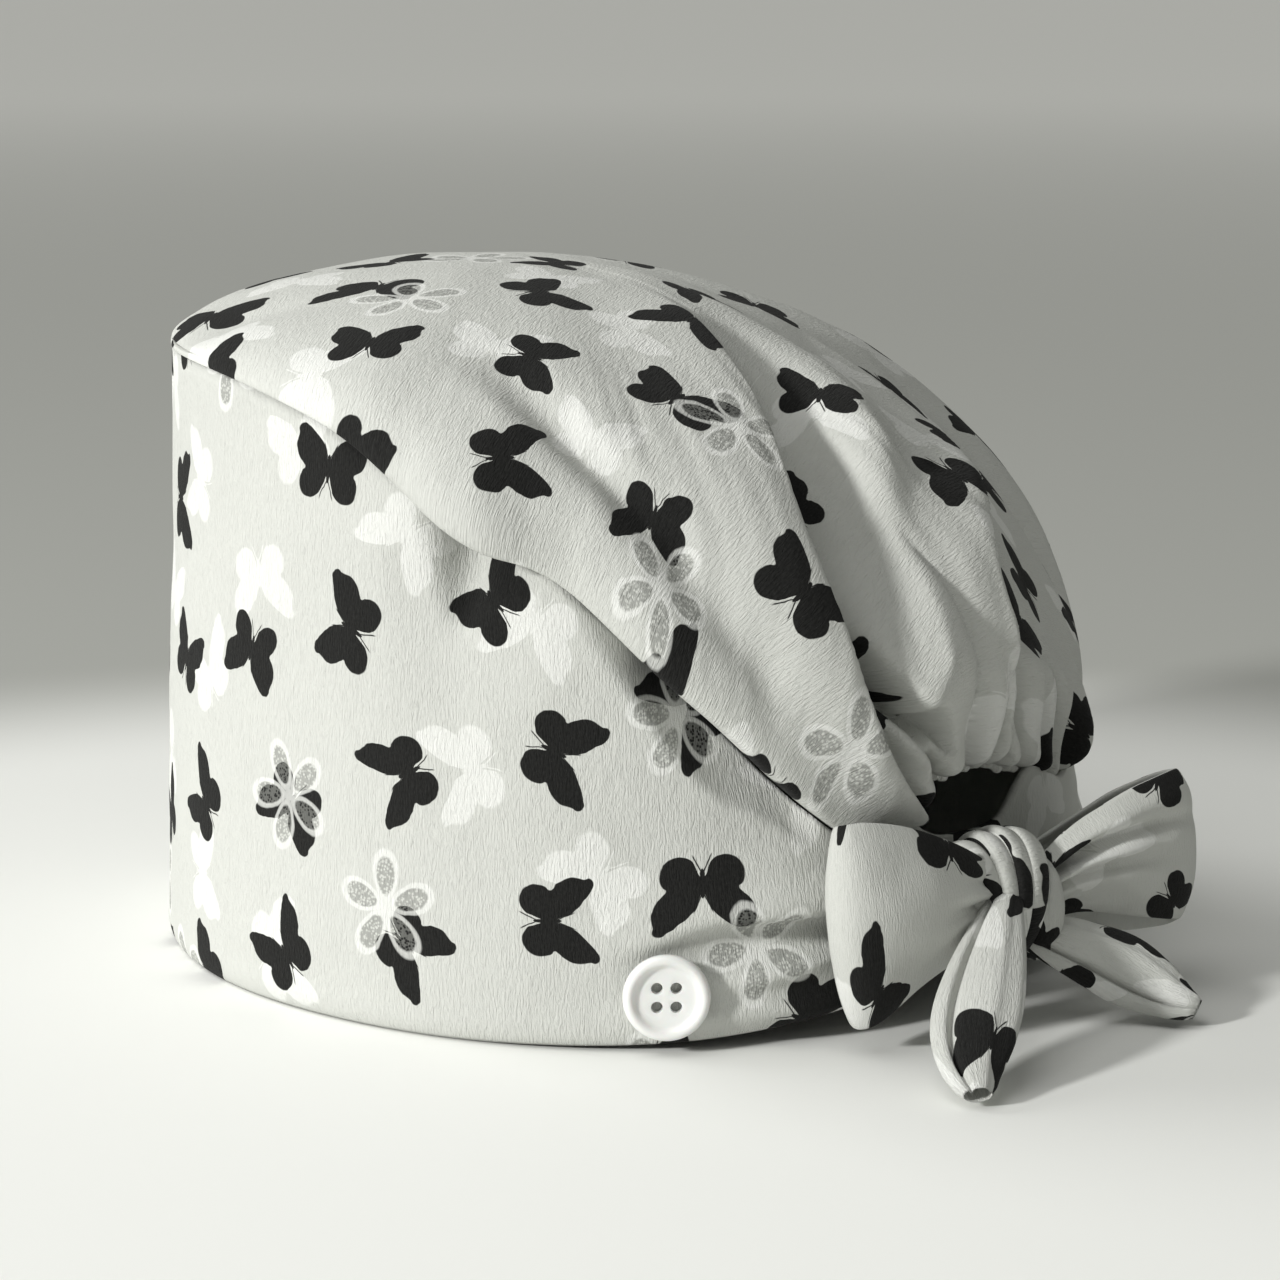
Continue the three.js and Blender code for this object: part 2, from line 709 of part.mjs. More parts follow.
// Each tail is a folded end of the tie that comes out under the knot and rests on its tip.
// middle x, y, z, width, thickness, turn about its own line in degrees
const NEAR_TAIL = [
  [12.5, 107.4, 26.4, 6, 4, 4],
  [17.8, 110.2, 25.2, 8, 4.8, 4],
  [24.6, 113.2, 21.8, 11.6, 6, 4],
  [33, 117, 17.2, 15.2, 7, 4],
  [40.6, 120.6, 12.8, 16.8, 7.2, 4],
  [47, 124, 8.8, 15.4, 6.8, 2],
  [52.4, 127.6, 5.4, 11.4, 6, 0],
  [56.4, 131.8, 2.6, 6.2, 4.2, 0],
];
const FAR_TAIL = [
  [6.5, 105.5, 19.6, 6, 4.4, 62],
  [2.8, 110.8, 16.8, 10, 5, 58],
  [-2.2, 116, 13.6, 12.8, 5.8, 58],
  [-6.8, 121, 10.4, 14.4, 6, 58],
  [-9.6, 126, 7.4, 12.4, 5.8, 54],
  [-11.2, 131, 4.9, 9, 5, 40],
  [-12.6, 134.8, 3.4, 5.6, 4.4, 20],
];
const TAIL_STATIONS = 16;
// across, through: the section of a tail, one side lapped over the other
const TAIL_SECTION = [
  [1, 0],
  [0.88, 0.45],
  [0.5, 0.85],
  [0.05, 0.95],
  [-0.35, 0.72],
  [-0.5, 0.34],
  [-0.63, 0.62],
  [-0.86, 0.5],
  [-1, 0.05],
  [-0.88, -0.5],
  [-0.4, -0.86],
  [0.2, -0.88],
  [0.78, -0.6],
];

function tailSections(rows) {
  const table = rows.map((row, i) => [i, ...row]);
  const at = (s, column) => along(table, s * (rows.length - 1), column);
  const middle = (s) => new THREE.Vector3(at(s, 1), at(s, 2), at(s, 3));
  const sections = [];
  for (let i = 0; i <= TAIL_STATIONS; i += 1) {
    const s = i / TAIL_STATIONS;
    const onward = middle(Math.min(s + 0.02, 1)).sub(middle(Math.max(s - 0.02, 0))).normalize();
    const across = new THREE.Vector3(0, 0, 1).cross(onward).normalize();
    across.applyAxisAngle(onward, at(s, 6) * RAD);
    const through = onward.clone().cross(across).normalize();
    sections.push(TAIL_SECTION.map(([a, b]) => middle(s)
      .addScaledVector(across, a * at(s, 4) / 2)
      .addScaledVector(through, b * at(s, 5) / 2)));
  }
  return sections;
}

add('tail_near', trimmed(skin(tailSections(NEAR_TAIL))), cloth());
add('tail_far', trimmed(skin(tailSections(FAR_TAIL))), cloth());

// The buttons.

// radius, height of the turned profile: flat back, rounded raised rim, shallow dish
function buttonProfile() {
  const r = BUTTON_DIAMETER / 2;
  const t = BUTTON_THICKNESS;
  return [
    [0, 0],
    [r * 0.8, 0],
    [r * 0.95, t * 0.2],
    [r, t * 0.5],
    [r * 0.96, t * 0.8],
    [r * 0.87, t],
    [r * 0.79, t * 0.96],
    [r * 0.71, t * 0.66],
    [r * 0.55, t * 0.58],
    [0, t * 0.58],
  ].map(([x, y]) => new THREE.Vector2(x, y));
}
const HOLE_DIAMETER = 1.8;
const HOLE_SPACING = 3.6;

function buttonGeometry() {
  let solid = solidOf(new THREE.LatheGeometry(buttonProfile(), 24));
  for (const x of [-1, 1]) {
    for (const z of [-1, 1]) {
      const hole = new THREE.CylinderGeometry(HOLE_DIAMETER / 2, HOLE_DIAMETER / 2, 10, 8);
      hole.translate(x * HOLE_SPACING / 2, 0, z * HOLE_SPACING / 2);
      solid = solid.subtract(solidOf(hole));
    }
  }
  return geometryOf(solid);
}

for (const [name, sign] of [['button_near', 1], ['button_far', -1]]) {
  const mesh = add(name, buttonGeometry(), button());
  const plan = oval(sign * BUTTON_ANGLE);
  const r = plan.length();
  const reach = r - LEAN * BUTTON_HEIGHT + BUTTON_STANDOFF;
  const outward = new THREE.Vector3(plan.x / HEAD_WIDTH ** 2, plan.y / HEAD_LENGTH ** 2, 0).normalize();
  outward.z = LEAN;
  outward.normalize();
  mesh.position.set(plan.x * reach / r, plan.y * reach / r, BUTTON_HEIGHT);
  mesh.quaternion.setFromUnitVectors(new THREE.Vector3(0, 1, 0), outward);
}

export default cap;
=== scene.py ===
# The looks of a printed scrub cap: band, slouched crown, gathered ponytail opening, bow and buttons.
# Tables are in millimetres and degrees. Angles round the cap are 0 at the back, 90 at the wearer's
# left and 180 in front.
import math

import bmesh
import bpy
import numpy as np
from mathutils import Matrix, Vector, noise


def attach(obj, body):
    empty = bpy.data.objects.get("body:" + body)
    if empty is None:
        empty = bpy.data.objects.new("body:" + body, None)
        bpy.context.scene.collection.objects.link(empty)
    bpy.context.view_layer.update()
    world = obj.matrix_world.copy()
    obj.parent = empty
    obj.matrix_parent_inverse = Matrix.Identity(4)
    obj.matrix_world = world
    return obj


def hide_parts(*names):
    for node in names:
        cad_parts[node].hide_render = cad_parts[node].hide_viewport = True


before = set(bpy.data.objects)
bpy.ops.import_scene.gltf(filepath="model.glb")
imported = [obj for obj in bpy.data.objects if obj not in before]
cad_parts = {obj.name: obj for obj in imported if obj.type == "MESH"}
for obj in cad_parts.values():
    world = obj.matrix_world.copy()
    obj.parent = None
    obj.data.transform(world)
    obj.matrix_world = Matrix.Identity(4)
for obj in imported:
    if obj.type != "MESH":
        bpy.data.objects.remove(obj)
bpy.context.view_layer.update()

# The band: a tall strip of doubled cotton crepe round the head, closed behind the knot. Its lower
# edge is turned in and stands on the surface, and the tie draws its back inward into pleats.
MM = 0.001
HEAD_LENGTH = 194
HEAD_WIDTH = 182
OVAL_POWER = 2.06
LEAN = 0.032            # inward, for each mm of height
TOP_HEIGHT = 140.5
POLE_Y = -27
BAND_WALL = 1.7
EDGE_GAP = 0.35
HEM_HEIGHT = 4.5
HEM_ROLL = 2.4
HEM_SHARPNESS = 0.96    # 1 would turn the hem in by a full quarter round
# How the tie draws the band inward and puckers it: amount, angle, spread, heights between which it fades
TIE_PULL = (5.5, 3, 17, 34, 52)
TIE_PUCKER = (0.5, 33, 14, 20, 36)

# angle, seam height, outward puff, rise of the first handle, reach of the second handle
MERIDIANS = [
    (0, 49.2, 3.5, 0.52, 0.61),
    (6.5, 50.2, 3.4, 0.52, 0.61),
    (10.5, 49.4, 3.2, 0.53, 0.61),
    (13, 43.0, 3.1, 0.54, 0.61),
    (15, 40.2, 3.1, 0.54, 0.61),
    (25, 40.0, 3.0, 0.55, 0.61),
    (42, 65.5, 2.5, 0.54, 0.66),
    (57, 87.0, 2.0, 0.54, 0.68),
    (70, 98.5, 1.5, 0.54, 0.67),
    (84, 112.0, 1.5, 0.52, 0.67),
    (98, 119.0, 0.9, 0.45, 0.64),
    (113, 122.5, 0.3, 0.38, 0.65),
    (140, 124.0, 0.3, 0.34, 0.64),
    (180, 127.0, 0.4, 0.36, 0.62),
    (220, 123.0, 0.4, 0.37, 0.53),
    (247, 116.5, 0.3, 0.38, 0.46),
    (270, 107.0, 0.2, 0.38, 0.42),
    (290, 93.0, 0.2, 0.36, 0.49),
    (305, 78.5, 1.2, 0.28, 0.50),
    (318, 61.5, 2.2, 0.28, 0.56),
    (335, 40.0, 3.0, 0.40, 0.60),
    (343, 41.5, 3.2, 0.44, 0.60),
    (347, 45.0, 3.3, 0.46, 0.60),
    (353, 47.6, 3.4, 0.50, 0.61),
    (360, 49.2, 3.5, 0.52, 0.61),
]
# angle, height of the band's top edge under the ponytail opening
OPENING_SILL = [(-17, 41.4), (-13.5, 43.6), (-11, 44.4), (-9.4, 42.0), (-7.8, 38.0), (-6, 35.6), (-3, 34.6),
                (1, 34.4), (6, 35.0), (10, 37.0), (14, 40.6)]
# angle to either side of the back, height of the lower edge
FOOT = [(0, 10.5), (10, 9.0), (20, 6.2), (31, 3.6), (45, 1.5), (62, 0.4), (78, 0), (180, 0)]
# angle, height above the surface, height of the fold, width above it, width below it
BAND_FOLDS = {
    "tie_pleat": [(14, 27.5, 0.0, 7, 2.0), (21, 26.0, 3.6, 8, 1.4), (32, 25.6, 4.8, 10, 1.4),
                  (41, 25.0, 3.0, 10, 2.0), (49, 21.0, 1.0, 10, 3.0), (56, 16.0, 0.0, 10, 4.0)],
    "lower_pleat": [(14, 20.0, 0.0, 4, 1.6), (21, 18.0, 1.8, 5, 1.4), (32, 15.0, 1.8, 5, 1.8),
                    (40, 12.0, 0.0, 5, 3.0)],
    "below_pleat": [(17, 21.0, 0.0, 3, 4), (24, 21.8, -2.6, 2.6, 4), (35, 21.6, -3.2, 2.6, 6),
                    (43, 20.0, -1.8, 3, 6), (52, 16.0, 0.0, 3, 6)],
    "soft_dent": [(60, 80.0, 0.0, 9, 14), (66, 82.0, -1.4, 10, 18), (72, 84.0, -2.2, 12, 20),
                  (80, 88.0, 0.0, 12, 20)],
    "far_tie_pleat": [(-54, 27.0, 0.0, 10, 4.0), (-40, 25.0, 1.6, 10, 2.4), (-28, 24.5, 2.4, 9, 2.0),
                      (-15, 26.5, 0.0, 7, 2.4)],
}
# Below the crown's edge the band sinks in: angle, depth at the edge, how far down it reaches, softness
RECESS = [(28, 0.0, 6, 0.8), (34, 6.0, 9, 0.85), (40, 10.0, 14, 0.85), (46, 9.0, 13, 0.85),
          (52, 4.0, 8, 0.9), (57, 0.8, 4, 1.0), (60, 3.0, 5, 0.9), (63, 8.0, 7, 0.8),
          (66.5, 11.0, 11, 0.8), (69.6, 12.5, 20, 1.0), (71.6, 11.0, 22, 1.2), (74, 2.6, 17, 1.5),
          (76, 0.6, 9, 1.5), (80, 0.0, 6, 1.4)]
BAND_COLUMNS = 420
BAND_ROWS = 64
CLOTH_GREY = (0.575, 0.582, 0.552, 1)
CLOTH_WHITE = (0.71, 0.715, 0.69, 1)
CLOTH_BLACK = (0.0045, 0.0045, 0.0043, 1)
WORN_BLACK = (0.020, 0.020, 0.019, 1)
SPECKLE_GREY = (0.20, 0.203, 0.19, 1)
CLOUDING = 0.04         # share by which the grey lightens and darkens over the cloth
# grains of the cloth's surface in mm, across by along, and their height in mm
CREPE_GRAIN = (0.38, 2.0)
CREPE_HEIGHT = 0.34
WEAVE_GRAIN = (0.26, 0.32)
WEAVE_HEIGHT = 0.06
SLUB_GRAIN = (4.5, 9)
SLUB_HEIGHT = 0.26
MOTIF_CELL = 31.0       # one black butterfly for each cell of this size
FULL_TURN = 6.28
PALE_SHARE = 0.56       # share of the pale cells that hold a butterfly
FLOWERS_END = 0.98      # the flowers take the top of the pale cells' dice, up to here
DARK_MISSING = 0.07     # share of the dark cells that stay empty
FRAYED = 0.5            # how far the motifs' edges wander
DOTS_TO_MM = 1.7
PETAL_MIDDLE = 6.0
PETAL_LENGTH = 4.5
PETAL_WIDTH = 2.5
PETAL_GROWTH = 0.55     # how much wider a petal is at its outer end
PETAL_LINE = 0.17       # half width of its drawn outline, as a share of the petal
FLOWER_EYE = 1.5
# A wing or body part is an oval: direction from the head, distance of its middle, half length, half width
BUTTERFLY = {
    "fore_wing_front": (49, 7.3, 4.9, 2.0),
    "fore_wing_back": (59, 6.1, 4.8, 3.2),
    "between_wings": (90, 3.9, 2.7, 2.6),
    "hind_wing": (119, 5.0, 3.7, 3.4),
    "head": (0, 0.5, 1.8, 0.55),
    "tail": (180, 0.8, 2.4, 0.55),
}
WING_REACH = 14
OUTLINE_STEPS = 36
BODY_LEAN = 0.06
BODY_MIDDLE = 0.6       # how far behind the wings' roots it lies
FEELER_FROM = 1.6       # the feelers' ends, from the body's middle, and half width
FEELER_TO = 5.2
FEELER_HALF = 0.14


def along(rows, x, column):
    """A smooth curve through one column of rows, at x in their first column."""
    table = np.array(rows, float)
    k, y = table[:, 0], table[:, column]
    slope = np.empty(len(k))
    slope[1:-1] = (y[2:] - y[:-2]) / (k[2:] - k[:-2])
    slope[0] = (y[1] - y[0]) / (k[1] - k[0])
    slope[-1] = (y[-1] - y[-2]) / (k[-1] - k[-2])
    x = np.clip(x, k[0], k[-1])
    i = np.clip(np.searchsorted(k, x, side="right") - 1, 0, len(k) - 2)
    h = k[i + 1] - k[i]
    t = (x - k[i]) / h
    return ((2 * t**3 - 3 * t**2 + 1) * y[i] + (t**3 - 2 * t**2 + t) * h * slope[i]
            + (3 * t**2 - 2 * t**3) * y[i + 1] + (t**3 - t**2) * h * slope[i + 1])


def signed(angle):
    return (np.asarray(angle) + 180) % 360 - 180


def ramp(low, high, x):
    t = np.clip((np.asarray(x, float) - low) / (high - low), 0, 1)
    return t * t * (3 - 2 * t)


def crest(distance, wide_up, wide_down):
    """A rounded fold, falling off over its own width on each side."""
    return np.exp(-(distance / np.where(distance > 0, wide_up, wide_down))**2)


def oval(angle):
    c, s = np.cos(np.radians(angle)), np.sin(np.radians(angle))
    r = (np.abs(c)**OVAL_POWER + np.abs(s)**OVAL_POWER)**(-1 / OVAL_POWER)
    return np.stack([HEAD_WIDTH / 2 * r * s, HEAD_LENGTH / 2 * r * c], -1)


def uneven(points, size, amount):
    """Soft unevenness of cloth: a wave of that size in mm, and of that height."""
    return amount * np.array([noise.noise(Vector(p) / size) for p in points])


def by_tie(a, z, amount, at, spread, fade_low, fade_high):
    """Strongest at its angle, and fading out upwards."""
    return amount * np.exp(-((a - at) / spread)**2) * (1 - ramp(fade_low, fade_high, z))


def band_relief(angle, z):
    """How far the band stands out from its smooth round."""
    a = signed(angle)
    relief = np.zeros_like(a)
    for rows in BAND_FOLDS.values():
        inside = (a > rows[0][0]) & (a < rows[-1][0])
        fold = along(rows, a, 2) * crest(z - along(rows, a, 1), along(rows, a, 3), along(rows, a, 4))
        relief += np.where(inside, fold, 0)
    pucker = by_tie(a, z, *TIE_PUCKER) * np.cos(z * 0.9)
    below = along(MERIDIANS, angle % 360, 1) - z
    sunk = np.clip(1 - below / along(RECESS, a, 2), 0, 1)**along(RECESS, a, 3)
    return relief - by_tie(a, z, *TIE_PULL) + pucker - along(RECESS, a, 1) * sunk


def band_points(angle, v):
    a = signed(angle)
    foot = along(FOOT, np.abs(a), 1)
    beside_sill = (a < OPENING_SILL[0][0]) | (a > OPENING_SILL[-1][0])
    top = np.where(beside_sill, along(MERIDIANS, angle % 360, 1), along(OPENING_SILL, a, 1)) - EDGE_GAP
    z = foot + (top - foot) * v
    plan = oval(angle)
    r = np.hypot(plan[:, 0], plan[:, 1])
    hem = np.clip(1 - (z - foot) / HEM_HEIGHT, 0, 1)
    roll = HEM_ROLL * (1 - np.sqrt(1 - HEM_SHARPNESS * hem**2))
    rest = np.column_stack([plan, z])
    reach = r - LEAN * z + band_relief(angle, z) - roll
    reach += (uneven(rest, 34, 0.7) + uneven(rest, 13, 0.3)) * ramp(0, 12, z - foot)
    drawn = np.column_stack([a * 0.22, z, 0 * z])
    near_tie = np.exp(-((a - 22) / 17)**2) + 0.8 * np.exp(-((a + 24) / 14)**2)
    reach += uneven(drawn, 4.2, 0.9) * near_tie * ramp(4, 14, z - foot)
    return np.column_stack([plan * (reach / r)[:, None], z])


def cloth_grid(columns, rows):
    """A flat grid of cloth, with each corner's way along it and across it, from 0 to 1."""
    bm = bmesh.new()
    bmesh.ops.create_grid(bm, x_segments=columns, y_segments=rows, size=1)
    bm.verts.ensure_lookup_table()
    ways = np.array([v.co.xy for v in bm.verts]) / 2 + 0.5
    return bm, ways[:, 0], ways[:, 1]


def lay(bm, points, flat):
    """Moves the grid's corners to points. flat is their place on the cut cloth, for the print."""
    layer = bm.loops.layers.uv.new("cut_cloth")
    bm.verts.index_update()
    for face in bm.faces:
        for loop in face.loops:
            loop[layer].uv = flat[loop.vert.index] * MM
    for vert, point in zip(bm.verts, points):
        vert.co = point * MM


def placed(name, data):
    """Adds an object to the scene."""
    made = bpy.data.objects.new(name, data)
    bpy.context.scene.collection.objects.link(made)
    return made


def new_finish(name):
    """A new material, its node tree and its shader."""
    material = bpy.data.materials.new(name)
    material.use_nodes = True
    return material, material.node_tree, material.node_tree.nodes["Principled BSDF"]


def cloth_piece(bm, name, finishes, middle, wall=None):
    """Closes the grid's seams, turns its faces away from middle and gives it its thickness."""
    bmesh.ops.remove_doubles(bm, verts=bm.verts, dist=0.00002)
    bmesh.ops.recalc_face_normals(bm, faces=bm.faces)
    centre = Vector(middle) * MM
    facing = sum((f.calc_center_median() - centre).dot(f.normal) * f.calc_area() for f in bm.faces)
    if facing < 0:
        bmesh.ops.reverse_faces(bm, faces=bm.faces)
    mesh = bpy.data.meshes.new(name)
    bm.to_mesh(mesh)
    bm.free()
    mesh.shade_smooth()
    for finish in finishes:
        mesh.materials.append(finish)
    piece = placed(name, mesh)
    if wall:
        solidify = piece.modifiers.new("wall", "SOLIDIFY")
        solidify.thickness = wall * MM
        solidify.offset = -1
        solidify.material_offset = len(finishes) - 1
    return piece


def node(tree, kind, *values, **settings):
    """Adds a node, gives its inputs values or links in order, and returns its first output."""
    made = tree.nodes.new(kind)
    for name, value in settings.items():
        setattr(made, name, value)
    for socket, value in zip(made.inputs, values):
        if isinstance(value, bpy.types.NodeSocket):
            tree.links.new(value, socket)
        elif value is not None:
            socket.default_value = value
    return made.outputs[0]


def sums(tree, operation, *values):
    return node(tree, "ShaderNodeMath", *values, operation=operation)


def plus(tree, a, b):
    return sums(tree, "ADD", a, b)


def minus(tree, a, b):
    return sums(tree, "SUBTRACT", a, b)


def times(tree, a, b):
    return sums(tree, "MULTIPLY", a, b)


def distance_to(tree, x, y):
    """How far the place x, y lies from the middle."""
    return sums(tree, "SQRT", plus(tree, times(tree, x, x), times(tree, y, y)))


def scattered(tree, place, tilt, seed, wander):
    """Splits the cloth into cells in tilted rows, each row shifted by chance. Returns the place in a
    cell's own turned motif, and its dice. tilt is in radians, and wander in mm."""
    c, s = math.cos(tilt) / MOTIF_CELL, math.sin(tilt) / MOTIF_CELL
    upward = plus(tree, times(tree, place[0], s), times(tree, place[1], c))
    across = minus(tree, times(tree, place[0], c), times(tree, place[1], s))
    row = sums(tree, "FLOOR", upward)
    row_dice = node(tree, "ShaderNodeTexWhiteNoise", None, plus(tree, row, seed + 0.5), noise_dimensions="1D")
    across = plus(tree, across, row_dice)
    column = sums(tree, "FLOOR", across)
    dice = tree.nodes.new("ShaderNodeTexWhiteNoise")
    dice.noise_dimensions = "3D"
    tree.links.new(node(tree, "ShaderNodeCombineXYZ", column, row, seed), dice.inputs["Vector"])
    split = tree.nodes.new("ShaderNodeSeparateColor")
    tree.links.new(dice.outputs["Color"], split.inputs[0])
    local = []
    for way, whole, chance in ((across, column, split.outputs[0]), (upward, row, split.outputs[1])):
        share = minus(tree, minus(tree, way, whole), 0.5)
        stray = times(tree, minus(tree, chance, 0.5), wander)
        local.append(plus(tree, times(tree, share, MOTIF_CELL), stray))
    turned = times(tree, split.outputs[2], FULL_TURN)
    c, s = sums(tree, "COSINE", turned), sums(tree, "SINE", turned)
    motif_x = minus(tree, times(tree, local[0], c), times(tree, local[1], s))
    motif_y = plus(tree, times(tree, local[0], s), times(tree, local[1], c))
    return (motif_x, motif_y), (*split.outputs[:3], dice.outputs["Value"])


def edge(tree, distance, softness):
    """1 inside, where the distance is positive, and 0 outside."""
    return node(tree, "ShaderNodeMapRange", distance, -softness, softness)


def oval_reach(direction, middle, half_long, half_wide):
    """How far the oval's far side lies from the motif's middle, off its own direction in radians."""
    c, s = math.cos(direction), math.sin(direction)
    squared = (c / half_long)**2 + (s / half_wide)**2
    linear = middle * c / half_long**2
    room = linear**2 - squared * ((middle / half_long)**2 - 1)
    return (linear + math.sqrt(room)) / squared if room > 0 else 0


def butterfly(tree, place, dice, softness):
    """A generic butterfly seen flat, leaning or turned a little away, with feelers."""
    x, y = place
    x = sums(tree, "ABSOLUTE", plus(tree, x, times(tree, y, BODY_LEAN)))
    turned_away = sums(tree, "MULTIPLY_ADD", dice[3], 0.36, 0.88)
    x = times(tree, x, turned_away)
    swept = times(tree, minus(tree, dice[1], 0.5), 0.4)
    y = plus(tree, y, times(tree, x, swept))
    direction = sums(tree, "DIVIDE", sums(tree, "ARCTAN2", x, y), math.pi)
    made = tree.nodes.new("ShaderNodeFloatCurve")
    tree.links.new(direction, made.inputs["Value"])
    curve = made.mapping.curves[0]
    for step in range(OUTLINE_STEPS + 1):
        share = step / OUTLINE_STEPS
        reach = max(oval_reach(math.pi * share - math.radians(at), *size) for at, *size in BUTTERFLY.values())
        if step in (0, OUTLINE_STEPS):
            curve.points[0 if step == 0 else -1].location = (share, reach / WING_REACH)
        else:
            curve.points.new(share, reach / WING_REACH)
    made.mapping.update()
    outline = times(tree, made.outputs[0], WING_REACH)
    wings = edge(tree, minus(tree, outline, distance_to(tree, x, y)), softness)
    from_body = sums(tree, "ABSOLUTE", plus(tree, y, BODY_MIDDLE))
    spread = times(tree, minus(tree, from_body, FEELER_FROM), 0.5)
    feeler = minus(tree, FEELER_HALF, sums(tree, "ABSOLUTE", minus(tree, x, spread)))
    tip = edge(tree, minus(tree, FEELER_TO, from_body), 0.3)
    root = edge(tree, minus(tree, from_body, FEELER_FROM), 0.2)
    drawn = times(tree, times(tree, edge(tree, feeler, 0.07), tip), root)
    return sums(tree, "MAXIMUM", wings, drawn)


def flower(tree, place):
    """Five petals with a drawn outline. Returns the outline and the petals' inside."""
    x, y = place
    fifth = 2 * math.pi / 5
    direction = sums(tree, "ARCTAN2", x, y)
    reach = distance_to(tree, x, y)
    folded = sums(tree, "FLOORED_MODULO", plus(tree, direction, fifth / 2), fifth)
    folded = minus(tree, folded, fifth / 2)
    outward = times(tree, reach, sums(tree, "COSINE", folded))
    sideways = times(tree, reach, sums(tree, "SINE", folded))
    a = sums(tree, "DIVIDE", minus(tree, outward, PETAL_MIDDLE), PETAL_LENGTH)
    b = sums(tree, "DIVIDE", sideways, sums(tree, "MULTIPLY_ADD", a, PETAL_GROWTH, PETAL_WIDTH))
    round_petal = distance_to(tree, a, b)
    off_line = sums(tree, "ABSOLUTE", minus(tree, round_petal, 1))
    line = edge(tree, minus(tree, PETAL_LINE, off_line), 0.06)
    middle = edge(tree, minus(tree, FLOWER_EYE, reach), 0.4)
    return sums(tree, "MAXIMUM", line, middle), edge(tree, minus(tree, 1, round_petal), 0.06)


def chosen(tree, dice, low, high):
    """1 in the cells whose dice fall between low and high."""
    return times(tree, sums(tree, "GREATER_THAN", dice, low), sums(tree, "LESS_THAN", dice, high))


def mix(tree, share, a, b):
    made = tree.nodes.new("ShaderNodeMix")
    made.data_type = "RGBA"
    for socket, value in ((made.inputs[0], share), (made.inputs[6], a), (made.inputs[7], b)):
        if isinstance(value, bpy.types.NodeSocket):
            tree.links.new(value, socket)
        else:
            socket.default_value = value
    return made.outputs[2]


def noise_at(tree, place, across, upward, detail=1, warp=0):
    """Noise whose grains measure across by upward mm."""
    vector = node(tree, "ShaderNodeCombineXYZ", sums(tree, "DIVIDE", place[0], across),
                  sums(tree, "DIVIDE", place[1], upward), 0.0)
    made = tree.nodes.new("ShaderNodeTexNoise")
    tree.links.new(vector, made.inputs["Vector"])
    made.inputs["Scale"].default_value = 1
    made.inputs["Detail"].default_value = detail
    made.inputs["Distortion"].default_value = warp
    return made.outputs[0]


def bare_crepe(name, crinkle=1.0):
    """Grey cotton crepe without a print. Returns the material, the place on the cut cloth and the ground."""
    material, tree, shader = new_finish(name)
    cut = tree.nodes.new("ShaderNodeUVMap")
    cut.uv_map = "cut_cloth"
    split = tree.nodes.new("ShaderNodeSeparateXYZ")
    tree.links.new(cut.outputs[0], split.inputs[0])
    place = tuple(sums(tree, "DIVIDE", split.outputs[i], MM) for i in (0, 1))
    tone = noise_at(tree, place, 46, 46, detail=2)
    darker, paler = (tuple(c * share for c in CLOTH_GREY[:3]) + (1,)
                     for share in (1 - CLOUDING, 1 + CLOUDING))
    ground = mix(tree, tone, darker, paler)
    tree.links.new(ground, shader.inputs["Base Color"])
    crepe = noise_at(tree, place, *CREPE_GRAIN, detail=2, warp=0.7)
    weave = noise_at(tree, place, *WEAVE_GRAIN)
    slub = noise_at(tree, place, *SLUB_GRAIN, detail=2, warp=0.4)
    height = times(tree, crepe, CREPE_HEIGHT * crinkle)
    height = plus(tree, height, times(tree, weave, WEAVE_HEIGHT))
    height = plus(tree, height, times(tree, slub, SLUB_HEIGHT * crinkle))
    bump = tree.nodes.new("ShaderNodeBump")
    bump.inputs["Strength"].default_value = 1.0
    bump.inputs["Distance"].default_value = MM
    tree.links.new(height, bump.inputs["Height"])
    tree.links.new(bump.outputs[0], shader.inputs["Normal"])
    tree.links.new(sums(tree, "MULTIPLY_ADD", crepe, 0.16, 0.78), shader.inputs["Roughness"])
    shader.inputs["Specular IOR Level"].default_value = 0.16
    shader.inputs["Sheen Weight"].default_value = 0.03
    shader.inputs["Sheen Roughness"].default_value = 0.5
    return material, place, ground


